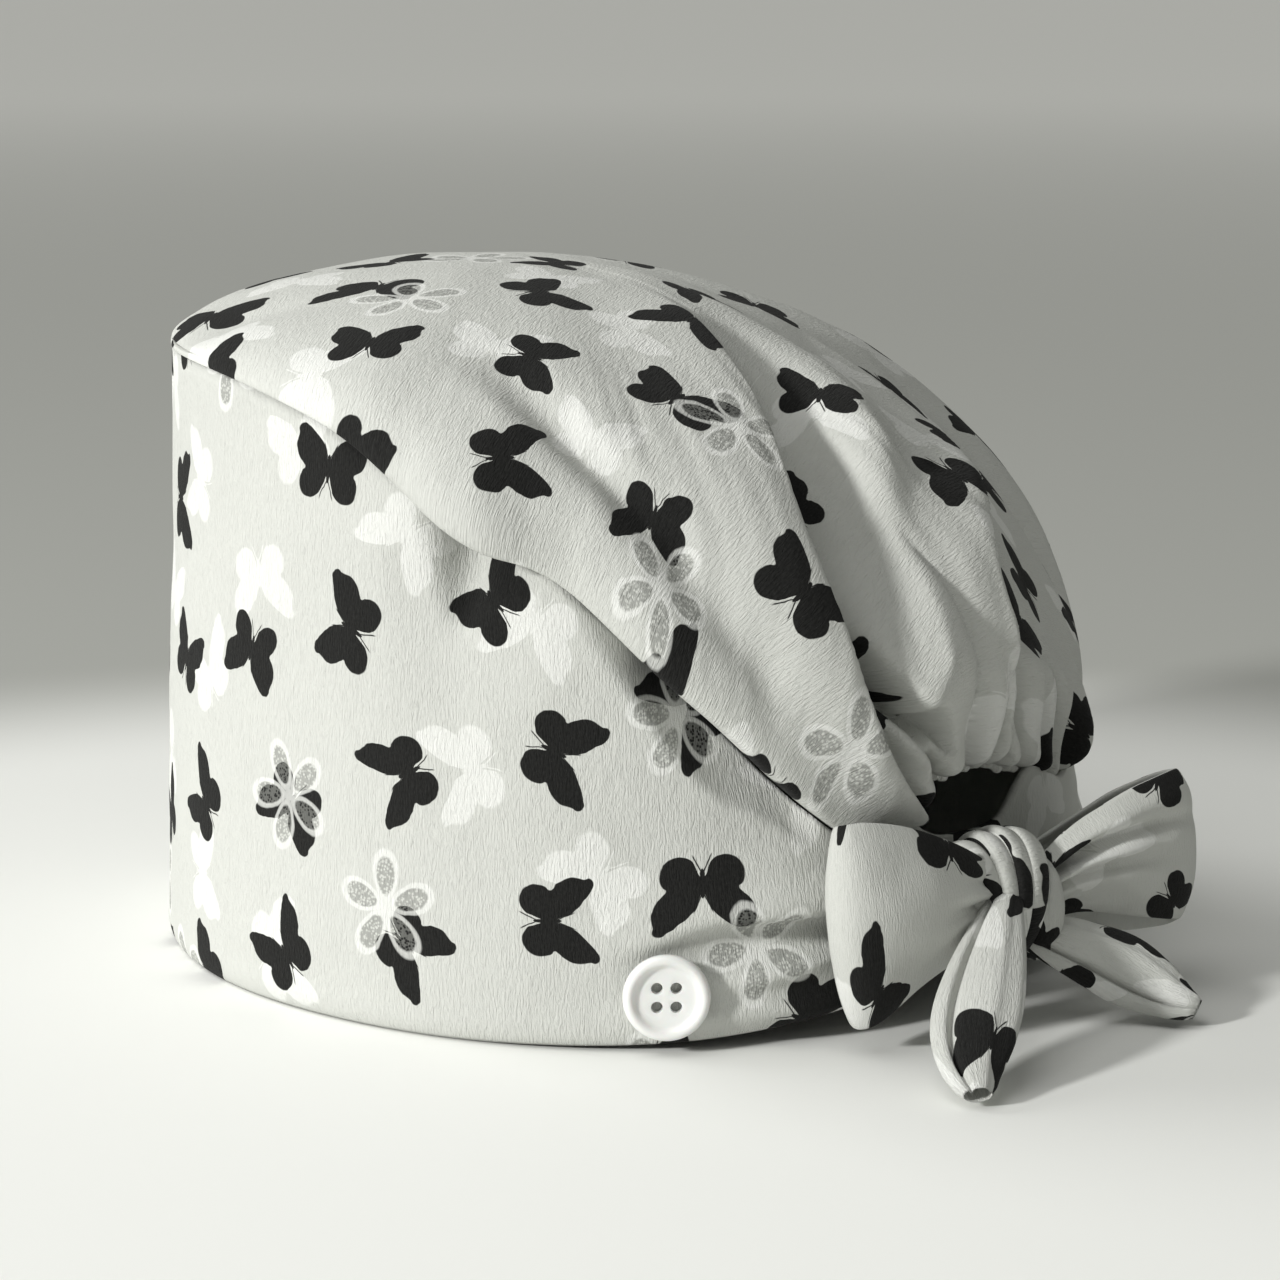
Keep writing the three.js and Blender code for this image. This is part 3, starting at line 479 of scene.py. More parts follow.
def printed_crepe(name, seed, crinkle=1.0, flowers=0.17):
    """Cotton crepe with a scattered print of butterflies and outlined flowers, on its cut shape. flowers
    is their share of the pale cells."""
    material, place, ground = bare_crepe(name, crinkle)
    tree = material.node_tree
    wave = noise_at(tree, place, 2.2, 2.2)
    stray = times(tree, minus(tree, wave, 0.5), FRAYED)
    frayed = tuple(plus(tree, p, stray) for p in place)

    pale, pale_dice = scattered(tree, frayed, tilt=-0.55, seed=seed + 20, wander=5)
    pale_wings = butterfly(tree, pale, pale_dice, softness=0.3)
    is_pale = chosen(tree, pale_dice[3], 0.0, PALE_SHARE)
    is_flower = chosen(tree, pale_dice[3], FLOWERS_END - flowers, FLOWERS_END)
    dark, dark_dice = scattered(tree, frayed, tilt=0.24, seed=seed, wander=3.4)
    dark_wings = butterfly(tree, dark, dark_dice, softness=0.1)
    dark_wings = times(tree, dark_wings, sums(tree, "GREATER_THAN", dark_dice[3], DARK_MISSING))
    line, inside = flower(tree, pale)
    line = times(tree, line, is_flower)
    inside = times(tree, inside, is_flower)
    stipple = tree.nodes.new("ShaderNodeTexVoronoi")
    tree.links.new(node(tree, "ShaderNodeCombineXYZ", place[0], place[1], 0.0), stipple.inputs["Vector"])
    stipple.inputs["Scale"].default_value = DOTS_TO_MM
    dots = edge(tree, minus(tree, stipple.outputs["Distance"], 0.42), 0.12)

    colour = mix(tree, times(tree, pale_wings, is_pale), ground, CLOTH_WHITE)
    grain = noise_at(tree, place, 0.55, 0.75)
    ink = mix(tree, grain, CLOTH_BLACK, WORN_BLACK)
    colour = mix(tree, dark_wings, colour, ink)
    speckle = times(tree, times(tree, dots, inside), 0.6)
    colour = mix(tree, speckle, colour, SPECKLE_GREY)
    over_black = times(tree, times(tree, line, dark_wings), 0.35)
    colour = mix(tree, minus(tree, line, over_black), colour, CLOTH_WHITE)
    tree.links.new(colour, tree.nodes["Principled BSDF"].inputs["Base Color"])
    return material


cap_cloth = printed_crepe("printed_crepe", 3)
reverse = bare_crepe("crepe_reverse")[0]
bm, way_x, way_y = cloth_grid(BAND_COLUMNS, BAND_ROWS)
BAND_CLOSE = 4          # the band's ends meet behind the knot, at this angle
CLOSER_AT_BACK = 22     # columns stand closer together near the closure
round_way = 360 * way_x - CLOSER_AT_BACK * np.sin(2 * math.pi * way_x)
up_way = way_y * (0.4 + 0.6 * way_y)
rim = np.arange(0, 721)
rim_points = oval(rim)
rim_length = np.concatenate([[0], np.cumsum(np.hypot(*np.diff(rim_points, axis=0).T))])
points = band_points(BAND_CLOSE + round_way, up_way)
lay(bm, points, np.column_stack([np.interp(BAND_CLOSE + round_way, rim, rim_length), points[:, 2]]))
band = cloth_piece(bm, "band_cloth", [cap_cloth, reverse], (0, 0, 60), BAND_WALL)
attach(band, "root")
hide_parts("band")

# The crown: one slouched piece of the same crepe, sewn into the band's slanted top edge. Its fullness
# falls to the back in a big fold beside the opening and is gathered over the opening itself.
CROWN_WALL = 1.5
CROWN_COLUMNS = 460
CROWN_ROWS = 120
CROWN_DART = 0.36       # share of the columns before the back's middle; the cloth's join is at its start
FOLD_CENTRE = (0, 0, 55)        # the folds rise away from here
MEAN_RADIUS = 95
# way up the meridian, angle, height, width towards larger angles, width towards smaller angles
CROWN_FOLDS = {
    "big_fold": [(0.00, 14.5, 2.5, 8, 2.2), (0.04, 18.4, 4.6, 10, 2.2), (0.12, 24.8, 6.6, 13, 2.2),
                 (0.21, 28.4, 7.6, 15, 2.4), (0.33, 30.2, 7.4, 16, 2.4), (0.44, 29.0, 6.6, 16, 2.6),
                 (0.52, 26.5, 5.4, 15, 3.2), (0.70, 22.0, 2.8, 12, 5.0), (0.86, 19.0, 0.0, 10, 6.0)],
    "trough_beside_it": [(0.035, 13.4, 0.0, 2, 2.4), (0.07, 16.4, -3.0, 2.0, 2.4),
                         (0.12, 20.2, -4.0, 2.2, 2.4), (0.17, 22.6, -6.4, 2.4, 4), (0.25, 24.6, -6.2, 3, 7),
                         (0.36, 23.6, -6.0, 3.8, 10), (0.50, 16.0, -5.6, 6, 9), (0.62, 11.0, -3.2, 7, 8),
                         (0.74, 7.0, 0.0, 7, 8)],
    "pocket": [(0.03, 8.4, 0.0, 1.4, 1.2), (0.055, 9.6, -6.0, 2.0, 1.2), (0.10, 12.4, -13.0, 3.4, 1.5),
               (0.14, 15.4, -15.0, 4.0, 1.6), (0.18, 18.4, -13.0, 3.6, 1.8), (0.24, 22.0, 0.0, 2, 2)],
    "far_fold": [(0.00, -3.0, 0.8, 6, 2.0), (0.04, 0.0, 3.4, 7, 2.0), (0.09, 1.3, 5.4, 8, 2.0),
                 (0.16, 1.5, 6.6, 10, 2.0), (0.27, 1.2, 6.8, 12, 2.2), (0.36, -6.0, 6.2, 12, 2.4),
                 (0.46, -18.0, 5.0, 12, 3.0), (0.56, -30.0, 2.6, 12, 4.0), (0.66, -40.0, 0.0, 12, 6.0)],
    "trough_beyond": [(0.03, -5.0, 0.0, 3, 4), (0.10, -4.4, -3.4, 2.6, 5), (0.26, -4.6, -4.6, 3, 6),
                      (0.37, -12.0, -4.0, 3.4, 7), (0.48, -25.0, -2.4, 4, 8), (0.58, -36.0, 0.0, 5, 8)],
    "soft_ridge": [(0.28, 11.0, 0.0, 5, 4), (0.38, 9.6, 1.8, 6, 5), (0.50, 2.5, 1.6, 7, 6),
                   (0.64, -6.0, 0.0, 8, 8)],
    "side_valley": [(0.08, 34.0, 0.0, 8, 8), (0.138, 39.5, -1.6, 9, 9), (0.18, 43.0, -2.2, 9, 9),
                    (0.225, 46.5, -2.8, 9, 9), (0.28, 51.0, -4.2, 8, 9), (0.34, 56.0, -5.0, 7.5, 9),
                    (0.43, 61.0, -3.0, 9, 9), (0.54, 65.0, 0.0, 9, 9)],
    "back_bump": [(0.22, 4.0, 0.0, 8, 8), (0.44, 5.5, 2.4, 9, 9), (0.62, 6.0, 0.0, 9, 9)],
    "far_valley": [(0.04, -42.0, 0.0, 6, 6), (0.16, -44.0, -2.4, 7, 7), (0.32, -49.0, -2.2, 8, 8),
                   (0.50, -56.0, 0.0, 9, 9)],
    "front_valley": [(0.10, 121.0, 0.0, 8, 8), (0.34, 118.0, -1.5, 9, 9), (0.60, 108.0, 0.0, 9, 9)],
    "far_front_valley": [(0.10, 236.0, 0.0, 8, 8), (0.34, 240.0, -1.6, 9, 9), (0.60, 250.0, 0.0, 9, 9)],
}
# How far, in mm, a fold's crest leans over towards smaller angles at its full height
FOLD_LEAN = {"big_fold": 5.0, "far_fold": 3.6}
# angle at the edge, height, half width in degrees, how far up the meridian, drift and growth of the
# half width on the way, how far the lobe's crest leans towards larger angles
GATHERS = [(-25.0, 2.0, 2.8, 0.14, -3, 0.5, 0), (-19.6, 2.8, 2.6, 0.20, -2, 0.5, 0),
           (-14.4, 3.6, 2.3, 0.16, 1, 0.5, 0), (-9.2, 4.2, 2.9, 0.17, 1, 0.5, 0.8),
           (-4.2, 4.4, 2.2, 0.15, 2, 0.5, 0.8), (-0.8, 3.4, 1.3, 0.12, 2, 0.5, 0.4),
           (1.9, 3.8, 1.5, 0.14, 3, 0.5, 0.6), (6.6, 5.0, 3.2, 0.34, 13, 1.7, 3.6),
           (11.6, 3.0, 1.7, 0.17, 8.5, 0.3, 0)]
LOBE_FULLNESS = 2.1     # a lobe stands this many times its height over the creases
CREASE_DEPTH = 7.0      # how far the creases between the lobes sink under the smooth crown
GATHERED = (-28, -22, 11, 15)   # angles where the creases begin, are full, still are full and end
CREASES_FADE = (0.03, 0.16)     # ways up the meridian
LOBE_HANG = 0.5         # how far a lobe's lower end hangs down, as a share of its height
EDGE_ROLL = 4.4         # how far the gathered edge is turned in over the opening
EDGE_ROLL_ENDS = 0.022  # way up the meridian
EDGE_SHARPNESS = 0.97
# angle, how far the crown's edge hangs out over the band
OVERHANG = [(0, 0), (18, 0.4), (24, 2.4), (33, 5.4), (42, 6.6), (48, 6.2), (53, 4.0), (57, 2.2), (61, 3.2),
            (66, 6.4), (71, 6.2), (77, 3.6), (88, 1.2), (105, 0.6), (180, 0.5), (270, 0.8), (300, 1.6),
            (322, 2.6), (338, 1.2), (360, 0)]
# way up the meridian, share of the overhang that shows, share of it that the cloth droops
LIP = [(0, 0.25, 0.0), (0.012, 0.72, 0.42), (0.03, 0.98, 0.34), (0.06, 1.0, 0.1), (0.14, 0.7, 0),
       (0.30, 0.2, 0), (0.45, 0, 0)]


def crown_base(angle, t):
    """The smooth crown at a share t of the way up its meridians, and how far out that lies."""
    a = angle % 360
    z0 = along(MERIDIANS, a, 1)
    plan = oval(a)
    r = np.hypot(plan[:, 0], plan[:, 1])
    plan = plan * ((r - LEAN * z0) / r)[:, None]
    b0, b1, b2, b3 = (1 - t)**3, 3 * t * (1 - t)**2, 3 * t * t * (1 - t), t**3
    share = b0 + b1 * (1 + along(MERIDIANS, a, 2) / r) + b2 * along(MERIDIANS, a, 4)
    z1 = z0 + along(MERIDIANS, a, 3) * (TOP_HEIGHT - z0)
    point = np.column_stack([plan[:, 0] * share, POLE_Y * (1 - share) + plan[:, 1] * share,
                             b0 * z0 + b1 * z1 + (b2 + b3) * TOP_HEIGHT])
    return point, share


def crown_points(angle, t):
    """The crown with its folds, gathers and hanging edge."""
    point, share = crown_base(angle, t)
    mm_per_degree = MEAN_RADIUS * share * math.pi / 180
    relief = np.zeros(len(t))
    lean = np.zeros(len(t))
    for name, rows in CROWN_FOLDS.items():
        inside = (t > rows[0][0] - 0.001) & (t < rows[-1][0])
        distance = signed(angle - along(rows, t, 1)) * mm_per_degree
        shape = crest(distance, along(rows, t, 3), along(rows, t, 4))
        height = along(rows, t, 2)
        relief += np.where(inside, height * shape, 0)
        tallest = max(abs(row[2]) for row in rows)
        lean += np.where(inside, FOLD_LEAN.get(name, 0) * height / tallest * shape, 0)
    lobes = np.zeros(len(t))
    for at, height, half, length, drift, growth, lobe_lean in GATHERS:
        way = np.clip(t / length, 0, 1)
        off = np.abs(signed(angle - at - drift * way)) / (half * (1 + growth * way))
        lobe = height * np.sqrt(np.clip(1 - off**2, 0, 1)) * (1 - way * way)
        lean -= np.where(lobe > lobes, lobe_lean * lobe / height, 0)
        lobes = np.maximum(lobes, lobe)
    overhang = along(OVERHANG, angle % 360, 1)
    a = signed(angle)
    gathered = ramp(GATHERED[0], GATHERED[1], a) * (1 - ramp(GATHERED[2], GATHERED[3], a))
    creases = CREASE_DEPTH * gathered * (1 - ramp(*CREASES_FADE, t))
    relief += LOBE_FULLNESS * lobes - creases + overhang * along(LIP, t, 1)
    turned_in = np.clip(1 - t / EDGE_ROLL_ENDS, 0, 1)
    relief -= EDGE_ROLL * gathered * (1 - np.sqrt(1 - EDGE_SHARPNESS * turned_in**2))
    relief -= along(RECESS, a, 1) * (1 - ramp(0, 0.02, t))
    relief += (uneven(point, 30, 0.9) + uneven(point, 12, 0.35)) * ramp(0.0, 0.1, t) * ramp(0, 0.3, share)
    drawn = np.column_stack([a * 1.6, t * 16, 0 * t])
    near_fold = np.exp(-((a - 22) / 46)**2) * ramp(0.02, 0.1, t)
    relief += uneven(drawn, 3.6, 0.55) * near_fold * (1 - ramp(0.4, 0.7, t))
    ray = point - np.array(FOLD_CENTRE)
    ray[:, 2] *= ramp(0, 0.12, t)
    ray /= np.linalg.norm(ray, axis=1)[:, None]
    plan = oval(angle)
    sideways = np.column_stack([plan[:, 1], -plan[:, 0], np.zeros(len(t))]) / np.hypot(*plan.T)[:, None]
    out = point + ray * relief[:, None] - sideways * lean[:, None]
    out[:, 2] -= overhang * along(LIP, t, 2) + LOBE_HANG * lobes * gathered * (1 - ramp(0, 0.09, t))
    return out


bm, way_x, way_y = cloth_grid(CROWN_COLUMNS, CROWN_ROWS)
FINEST_AT = 8           # the columns stand closest together at this angle, beside the opening
CLOSER_AT_OPENING = 32
round_way = 2 * math.pi * (way_x - CROWN_DART)
angle = FINEST_AT + np.degrees(round_way) - CLOSER_AT_OPENING * np.sin(round_way)
t = way_y * (0.40 + 0.60 * way_y)
base, _ = crown_base(angle, t)
grid = base.reshape(CROWN_ROWS + 1, CROWN_COLUMNS + 1, 3)
steps = np.linalg.norm(np.diff(grid, axis=0), axis=2)
from_top = np.concatenate([np.cumsum(steps[::-1], axis=0)[::-1], np.zeros((1, CROWN_COLUMNS + 1))]).ravel()
CUT_SPREAD = 0.85       # the flat cut closes this share of a full turn
spread = np.radians(angle - 90) * CUT_SPREAD
flat = np.column_stack([from_top * np.sin(spread), -from_top * np.cos(spread)])
lay(bm, crown_points(angle, t), flat)
bmesh.ops.remove_doubles(bm, verts=bm.verts, dist=0.00002)
SMOOTHED_ABOVE = 133    # the crown's top, where all its meridians meet
top_verts = [v for v in bm.verts if v.co.z > SMOOTHED_ABOVE * MM]
for smoothing in range(6):
    bmesh.ops.smooth_vert(bm, verts=top_verts, factor=0.5, use_axis_z=True)
crown = cloth_piece(bm, "crown_cloth", [cap_cloth, reverse], (0, 0, 60), CROWN_WALL)
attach(crown, "root")
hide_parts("crown")

# The casing: a narrow turned hem of the crown with elastic inside, which gathers the cloth in small
# puckers over the ponytail opening.
CASING_FROM = -14
CASING_TO = 11.4
CASING_HEIGHT = 2.8
CASING_THICKNESS = 2.2
CASING_INSET = 0.9      # behind the crown's edge
CASING_RISE = 1.6       # its upper side over the crown's edge
CASING_CUT = (1.7, 8)   # its print, in mm for each degree and for one turn

bm, way_x, way_y = cloth_grid(220, 20)
angle = CASING_TO + (CASING_FROM - CASING_TO) * way_x
brim = crown_points(angle, np.zeros(len(angle)))
outward = brim * (1, 1, 0) / np.hypot(brim[:, 0], brim[:, 1])[:, None]
pucker = 1 + 0.16 * np.cos(angle * 3.1) + 0.10 * np.cos(angle * 7.3 + 1)
ends = np.sqrt(np.clip(1 - (2 * way_x - 1)**8, 0, 1))
turned = 2 * math.pi * way_y
side = np.cos(turned) * CASING_THICKNESS / 2 * pucker * ends
up = np.sin(turned) * CASING_HEIGHT / 2 * pucker * ends
points = brim + outward * (side - CASING_THICKNESS / 2 - CASING_INSET)[:, None]
points[:, 2] += up - CASING_HEIGHT / 2 + CASING_RISE
lay(bm, points, np.column_stack([angle * CASING_CUT[0], way_y * CASING_CUT[1]]))
casing = cloth_piece(bm, "opening_casing", [cap_cloth], (0, 90, 46))
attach(casing, "root")
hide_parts("elastic_casing")

# The bow's two loops: a doubled strip of the crepe, turned right side out, that leaves the knot, turns
# back on itself and returns. Creases run out from where the knot pinches it.
TIE_WALL = 2.3
# upper edge x, y, z, lower edge x, y, z, outward belly between them
NEAR_LOOP = [
    (12, 105.0, 31, 12, 105.4, 19, 0.6),
    (23, 103.8, 37.4, 23, 104.6, 16.2, 3.0),
    (35, 101.0, 42.6, 34, 102.0, 11.4, 4.6),
    (44.4, 98.4, 44.9, 41.6, 99.6, 6.6, 4.4),
    (48.4, 95.6, 44.8, 44.2, 97.0, 5.2, 3.8),
    (46.8, 92.8, 43.6, 43.0, 94.4, 5.8, 1.6),
    (37, 92.8, 40.6, 35, 93.8, 7.6, 0.4),
    (24, 95.8, 36, 24, 96.4, 11.6, 0.2),
    (12, 99.0, 30, 12, 99.4, 18, 0.2),
]
FAR_LOOP = [
    (3, 107.2, 31, 4, 107.4, 19, 0.5),
    (-8, 109.8, 37.4, -8, 110.2, 19.4, 1.8),
    (-20, 113.4, 42.0, -19, 114.0, 17.2, 2.6),
    (-30, 116.0, 44.2, -30, 116.8, 14.6, 2.4),
    (-34.6, 114.8, 44.0, -36.4, 115.6, 13.2, 2.8),
    (-33.6, 111.2, 42.8, -35.4, 112.0, 11.4, 1.6),
    (-24, 107.2, 40, -24, 107.8, 12.0, 0.6),
    (-11, 103.2, 35, -11, 103.6, 15.6, 0.4),
    (3, 101.0, 30, 4, 101.2, 20, 0.2),
]
# where across the strip, depth (raised where negative), half width as a share of the strip, and how far
# out along the strip it fades (0 knot, 1 back at the knot)
NEAR_CREASES = [(0.30, 2.0, 0.06, 0.18), (0.42, -1.2, 0.08, 0.2), (0.54, 3.6, 0.06, 0.27),
                (0.76, 1.8, 0.06, 0.16)]
FAR_CREASES = [(0.15, -2.2, 0.09, 0.62), (0.31, 4.6, 0.05, 0.56), (0.43, -1.8, 0.06, 0.5),
               (0.55, 4.0, 0.05, 0.44), (0.80, 2.0, 0.07, 0.3)]
STRIP_LENGTH = 95       # size of the print along the strip, from STRIP_START, and across it
STRIP_START = 40
STRIP_WIDTH = 34
BOW_FACES = (0.34, 0.94, 0)     # direction


def loop_points(rows, creases, along_way, round_way, outward_sign):
    """A flattened tube of cloth along the strip. round_way goes once round its front and back layers."""
    table = [(i, *row) for i, row in enumerate(rows)]
    s = along_way * (len(rows) - 1)
    upper, lower = (np.column_stack([along(table, s, first + k) for k in range(3)]) for first in (1, 4))
    d = 0.02 * (len(rows) - 1)
    before, after = ((np.column_stack([along(table, s + step, 1 + k) + along(table, s + step, 4 + k)
                                       for k in range(3)])) for step in (-d, d))
    out = np.cross(after - before, lower - upper) * outward_sign
    out /= np.linalg.norm(out, axis=1)[:, None]
    c, q = np.cos(2 * math.pi * round_way), np.sin(2 * math.pi * round_way)
    across = 0.5 - 0.5 * np.sign(c) * np.abs(c)**0.75
    offset = np.sign(q) * np.abs(q)**0.55 * TIE_WALL / 2
    offset += along(table, s, 7) * (1 - (2 * across - 1)**2)
    from_knot = np.minimum(along_way, 1 - along_way)
    for at, depth, half, reach in creases:
        offset -= depth * np.exp(-((across - at) / half)**2) * (1 - ramp(0, reach, from_knot))
    return upper + (lower - upper) * across[:, None] + out * offset[:, None], across


LOOP_PRINT = {"near": 44, "far": 47}    # each strip is cut from another part of the cloth
for name, rows, creases, sign in (("near", NEAR_LOOP, NEAR_CREASES, 1), ("far", FAR_LOOP, FAR_CREASES, -1)):
    bm, way_x, way_y = cloth_grid(170, 90)
    points, across = loop_points(rows, creases, way_x, way_y, sign)
    points += uneven(points, 9, 0.5)[:, None] * np.array(BOW_FACES)
    side_of_strip = np.where(way_y < 0.5, across, 2 - across)
    lay(bm, points, np.column_stack([way_x * STRIP_LENGTH + STRIP_START, side_of_strip * STRIP_WIDTH]))
    loop_cloth = printed_crepe(f"loop_crepe_{name}", LOOP_PRINT[name], crinkle=0.55, flowers=0.08)
    loop = cloth_piece(bm, f"bow_loop_{name}", [loop_cloth], points.mean(axis=0))
    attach(loop, "root")
    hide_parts(f"loop_{name}")

# The knot: turns of the tie's strip drawn tight over one another below the opening. The last turn
# comes round the front in one broad bulge beside the others.
KNOT_CENTRE = (8, 103, 24.5)
BOW_ALONG = np.array([BOW_FACES[1], -BOW_FACES[0], 0]) / math.hypot(*BOW_FACES)
BOW_OUT = np.array(BOW_FACES) / math.hypot(*BOW_FACES)
KNOT_HALF = (12.8, 11.0, 8.0)   # half size along the bow, up and outward
KNOT_SHIFT = 2.4
# offset along the bow on top, offset in front, half width, rise over the core
KNOT_TURNS = [(12.4, 5.4, 2.5, 0.4), (8.0, 4.2, 2.4, 1.0), (3.9, 2.9, 2.4, 1.5), (-0.2, 1.6, 2.4, 1.7),
              (-4.6, 0.0, 2.8, 1.3)]
LAPPED = 0.9            # how far each turn's one edge stands over its neighbour
TURN_OUTER = 1.6        # half thickness of a turn outside, and inside, where the core hides it
TURN_INNER = 4.0
TURN_SUNK = 0.6
TURN_CUT = (60, 12)     # size of the print round a turn and across it
CORE_CUT = (50, 30)
KNOT_REACH = 18.4       # offset along the bow at which the turns' round would close
# offset along the bow, up and outward, half sizes of the bulge
KNOT_BULGE = (-6.4, -2.4, 2.6, 5.0, 10.4, 6.6)


def in_knot(sideways, up, out):
    return (np.array(KNOT_CENTRE) + np.outer(sideways, BOW_ALONG) + np.outer(out, BOW_OUT)
            + np.outer(up, (0, 0, 1)))


def knot_turn(row, way_x, way_y):
    on_top, in_front, half, rise = row
    around = 2 * math.pi * way_x
    shift = in_front + (on_top - in_front) * (0.5 + 0.5 * np.sin(around))
    turned = 2 * math.pi * way_y
    side = shift + np.cos(turned) * half
    fall = np.sqrt(np.maximum(0.1, 1 - (side / KNOT_REACH)**2))
    lift = np.sin(turned)
    depth = np.where(lift > 0, TURN_OUTER, TURN_INNER) * np.sign(lift) * np.abs(lift)**0.7
    depth += rise - TURN_SUNK + LAPPED * np.cos(turned)
    return in_knot(side, np.sin(around) * (KNOT_HALF[1] * fall + depth),
                   np.cos(around) * (KNOT_HALF[2] * fall + depth))


turns = []
for number, row in enumerate(KNOT_TURNS):
    bm, way_x, way_y = cloth_grid(96, 28)
    points = knot_turn(row, way_x, way_y)
    lay(bm, points, np.column_stack([way_x * TURN_CUT[0] + 70 * number, way_y * TURN_CUT[1]]))
    turns.append(cloth_piece(bm, f"turn_{number}", [cap_cloth], KNOT_CENTRE))
for number, (middle, half) in enumerate((((KNOT_SHIFT, 0, 0), KNOT_HALF), (KNOT_BULGE[:3], KNOT_BULGE[3:]))):
    bm, way_x, way_y = cloth_grid(72, 40)
    turned, down = 2 * math.pi * way_x, math.pi * way_y
    ball = in_knot(middle[0] + half[0] * np.sin(down) * np.cos(turned), middle[1] + half[1] * np.cos(down),
                   middle[2] + half[2] * np.sin(down) * np.sin(turned))
    lay(bm, ball, np.column_stack([way_x * CORE_CUT[0] + 20 * number, way_y * CORE_CUT[1] + 400]))
    turns.append(cloth_piece(bm, f"core_{number}", [cap_cloth], KNOT_CENTRE))
with bpy.context.temp_override(active_object=turns[0], selected_editable_objects=turns):
    bpy.ops.object.join()
knot = turns[0]
knot.name = "tie_knot"
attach(knot, "root")
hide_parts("knot")

# The tie's two tails: folded ends of the same strip that come out under the knot, one edge lapped
# over the other, and rest on their rolled tips.
# middle x, y, z, width, thickness, turn about its own line in degrees
NEAR_TAIL = [(12.5, 107.4, 26.4, 6, 4, 4), (17.8, 110.2, 25.2, 8, 4.8, 4), (24.6, 113.2, 21.8, 11.6, 6, 4),
             (33, 117, 17.2, 15.2, 7, 4), (40.6, 120.6, 12.8, 16.8, 7.2, 4), (47, 124, 8.8, 15.4, 6.8, 2),
             (52.4, 127.6, 5.4, 11.4, 6, 0), (56.4, 131.8, 2.6, 6.2, 4.2, 0)]
FAR_TAIL = [(6.5, 105.5, 19.6, 6, 4.4, 62), (2.8, 110.8, 16.8, 10, 5, 58), (-2.2, 116, 13.6, 12.8, 5.8, 58),
            (-6.8, 121, 10.4, 14.4, 6, 58), (-9.6, 126, 7.4, 12.4, 5.8, 54), (-11.2, 131, 4.9, 9, 5, 40),
            (-12.6, 134.8, 3.4, 5.6, 4.4, 20)]
# across, through: the section, one side lapped over the other
TAIL_SECTION = [(1, 0), (0.90, 0.34), (0.64, 0.68), (0.44, 0.96), (0.04, 1.0), (-0.36, 0.82), (-0.5, 0.22),
                (-0.62, 0.66), (-0.86, 0.52), (-1, 0.05), (-0.88, -0.5), (-0.4, -0.86), (0.2, -0.88),
                (0.78, -0.6), (1, 0)]
# the strip's rolled end: where the cloth turns back into the tip, and how deep the hollow is
TAIL_TURNS_IN = 0.9
HOLLOW_DEPTH = 0.12
TAIL_CUT = (42, 52)     # size of the print round a tail and along it


def tail_points(rows, along_way, round_way):
    table = [(i, *row) for i, row in enumerate(rows)]
    hollow = np.clip((along_way - TAIL_TURNS_IN) / (1 - TAIL_TURNS_IN), 0, 1)
    along_way = np.minimum(along_way / TAIL_TURNS_IN, 1) - HOLLOW_DEPTH * hollow
    s = along_way * (len(rows) - 1)
    d = 0.02 * (len(rows) - 1)
    middle, before, after = (np.column_stack([along(table, s + step, 1 + k) for k in range(3)])
                             for step in (0, -d, d))
    onward = after - before
    onward /= np.linalg.norm(onward, axis=1)[:, None]
    across = np.cross((0, 0, 1), onward)
    across /= np.linalg.norm(across, axis=1)[:, None]
    through = np.cross(onward, across)
    roll = np.radians(along(table, s, 6))[:, None]
    across, through = (across * np.cos(roll) + through * np.sin(roll),
                       through * np.cos(roll) - across * np.sin(roll))
    section = [(i, *row) for i, row in enumerate(TAIL_SECTION)]
    w = round_way * (len(section) - 1)
    tip = np.sqrt(1 - ramp(0.94, 1.0, along_way)**2 * 0.3)
    shrink = np.where(hollow > 0, (0.80 - 0.2 * hollow) * np.sqrt(1 - hollow**6), tip)
    a = along(section, w, 1) * along(table, s, 4) / 2 * shrink
    b = along(section, w, 2) * along(table, s, 5) / 2 * shrink
    return middle + across * a[:, None] + through * b[:, None]


for name, rows, print_at, cut in (("near", NEAR_TAIL, 440, (0.055, 0.017)),
                                  ("far", FAR_TAIL, 380, (0.042, 0.014))):
    bm, way_x, way_y = cloth_grid(110, 96)
    points = tail_points(rows, way_x, way_y)
    lay(bm, points, np.column_stack([way_y * TAIL_CUT[0] + print_at, way_x * TAIL_CUT[1]]))
    tail = cloth_piece(bm, f"tie_tail_{name}", [cap_cloth], points.mean(axis=0))
    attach(tail, "root")
    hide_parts(f"tail_{name}")

# The buttons: pressed white resin with a raised round rim, a shallow dish and four holes, sewn to
# the band on each side to take a mask's ear loops.
BUTTON_DIAMETER = 16.5
BUTTON_THICKNESS = 2.9
BUTTON_ANGLE = 46
BUTTON_HEIGHT = 11.2
BUTTON_STANDOFF = 0.45  # between its flat back and the round of the band
BUTTON_EDGE = 0.25      # roundness of the holes' edges
RESIN_GREY = (0.80, 0.805, 0.79, 1)
RESIN_WHITE = (0.87, 0.875, 0.86, 1)
HOLE_DIAMETER = 2.2
HOLE_SPACING = 3.6
# share of the radius, share of the thickness, from the back's middle over the rim to the dish
BUTTON_PROFILE = [(0, 0), (0.80, 0), (0.90, 0.06), (0.965, 0.22), (1, 0.48), (0.985, 0.74), (0.94, 0.92),
                  (0.87, 1), (0.81, 0.97), (0.76, 0.84), (0.71, 0.66), (0.64, 0.59), (0.55, 0.58), (0, 0.58)]

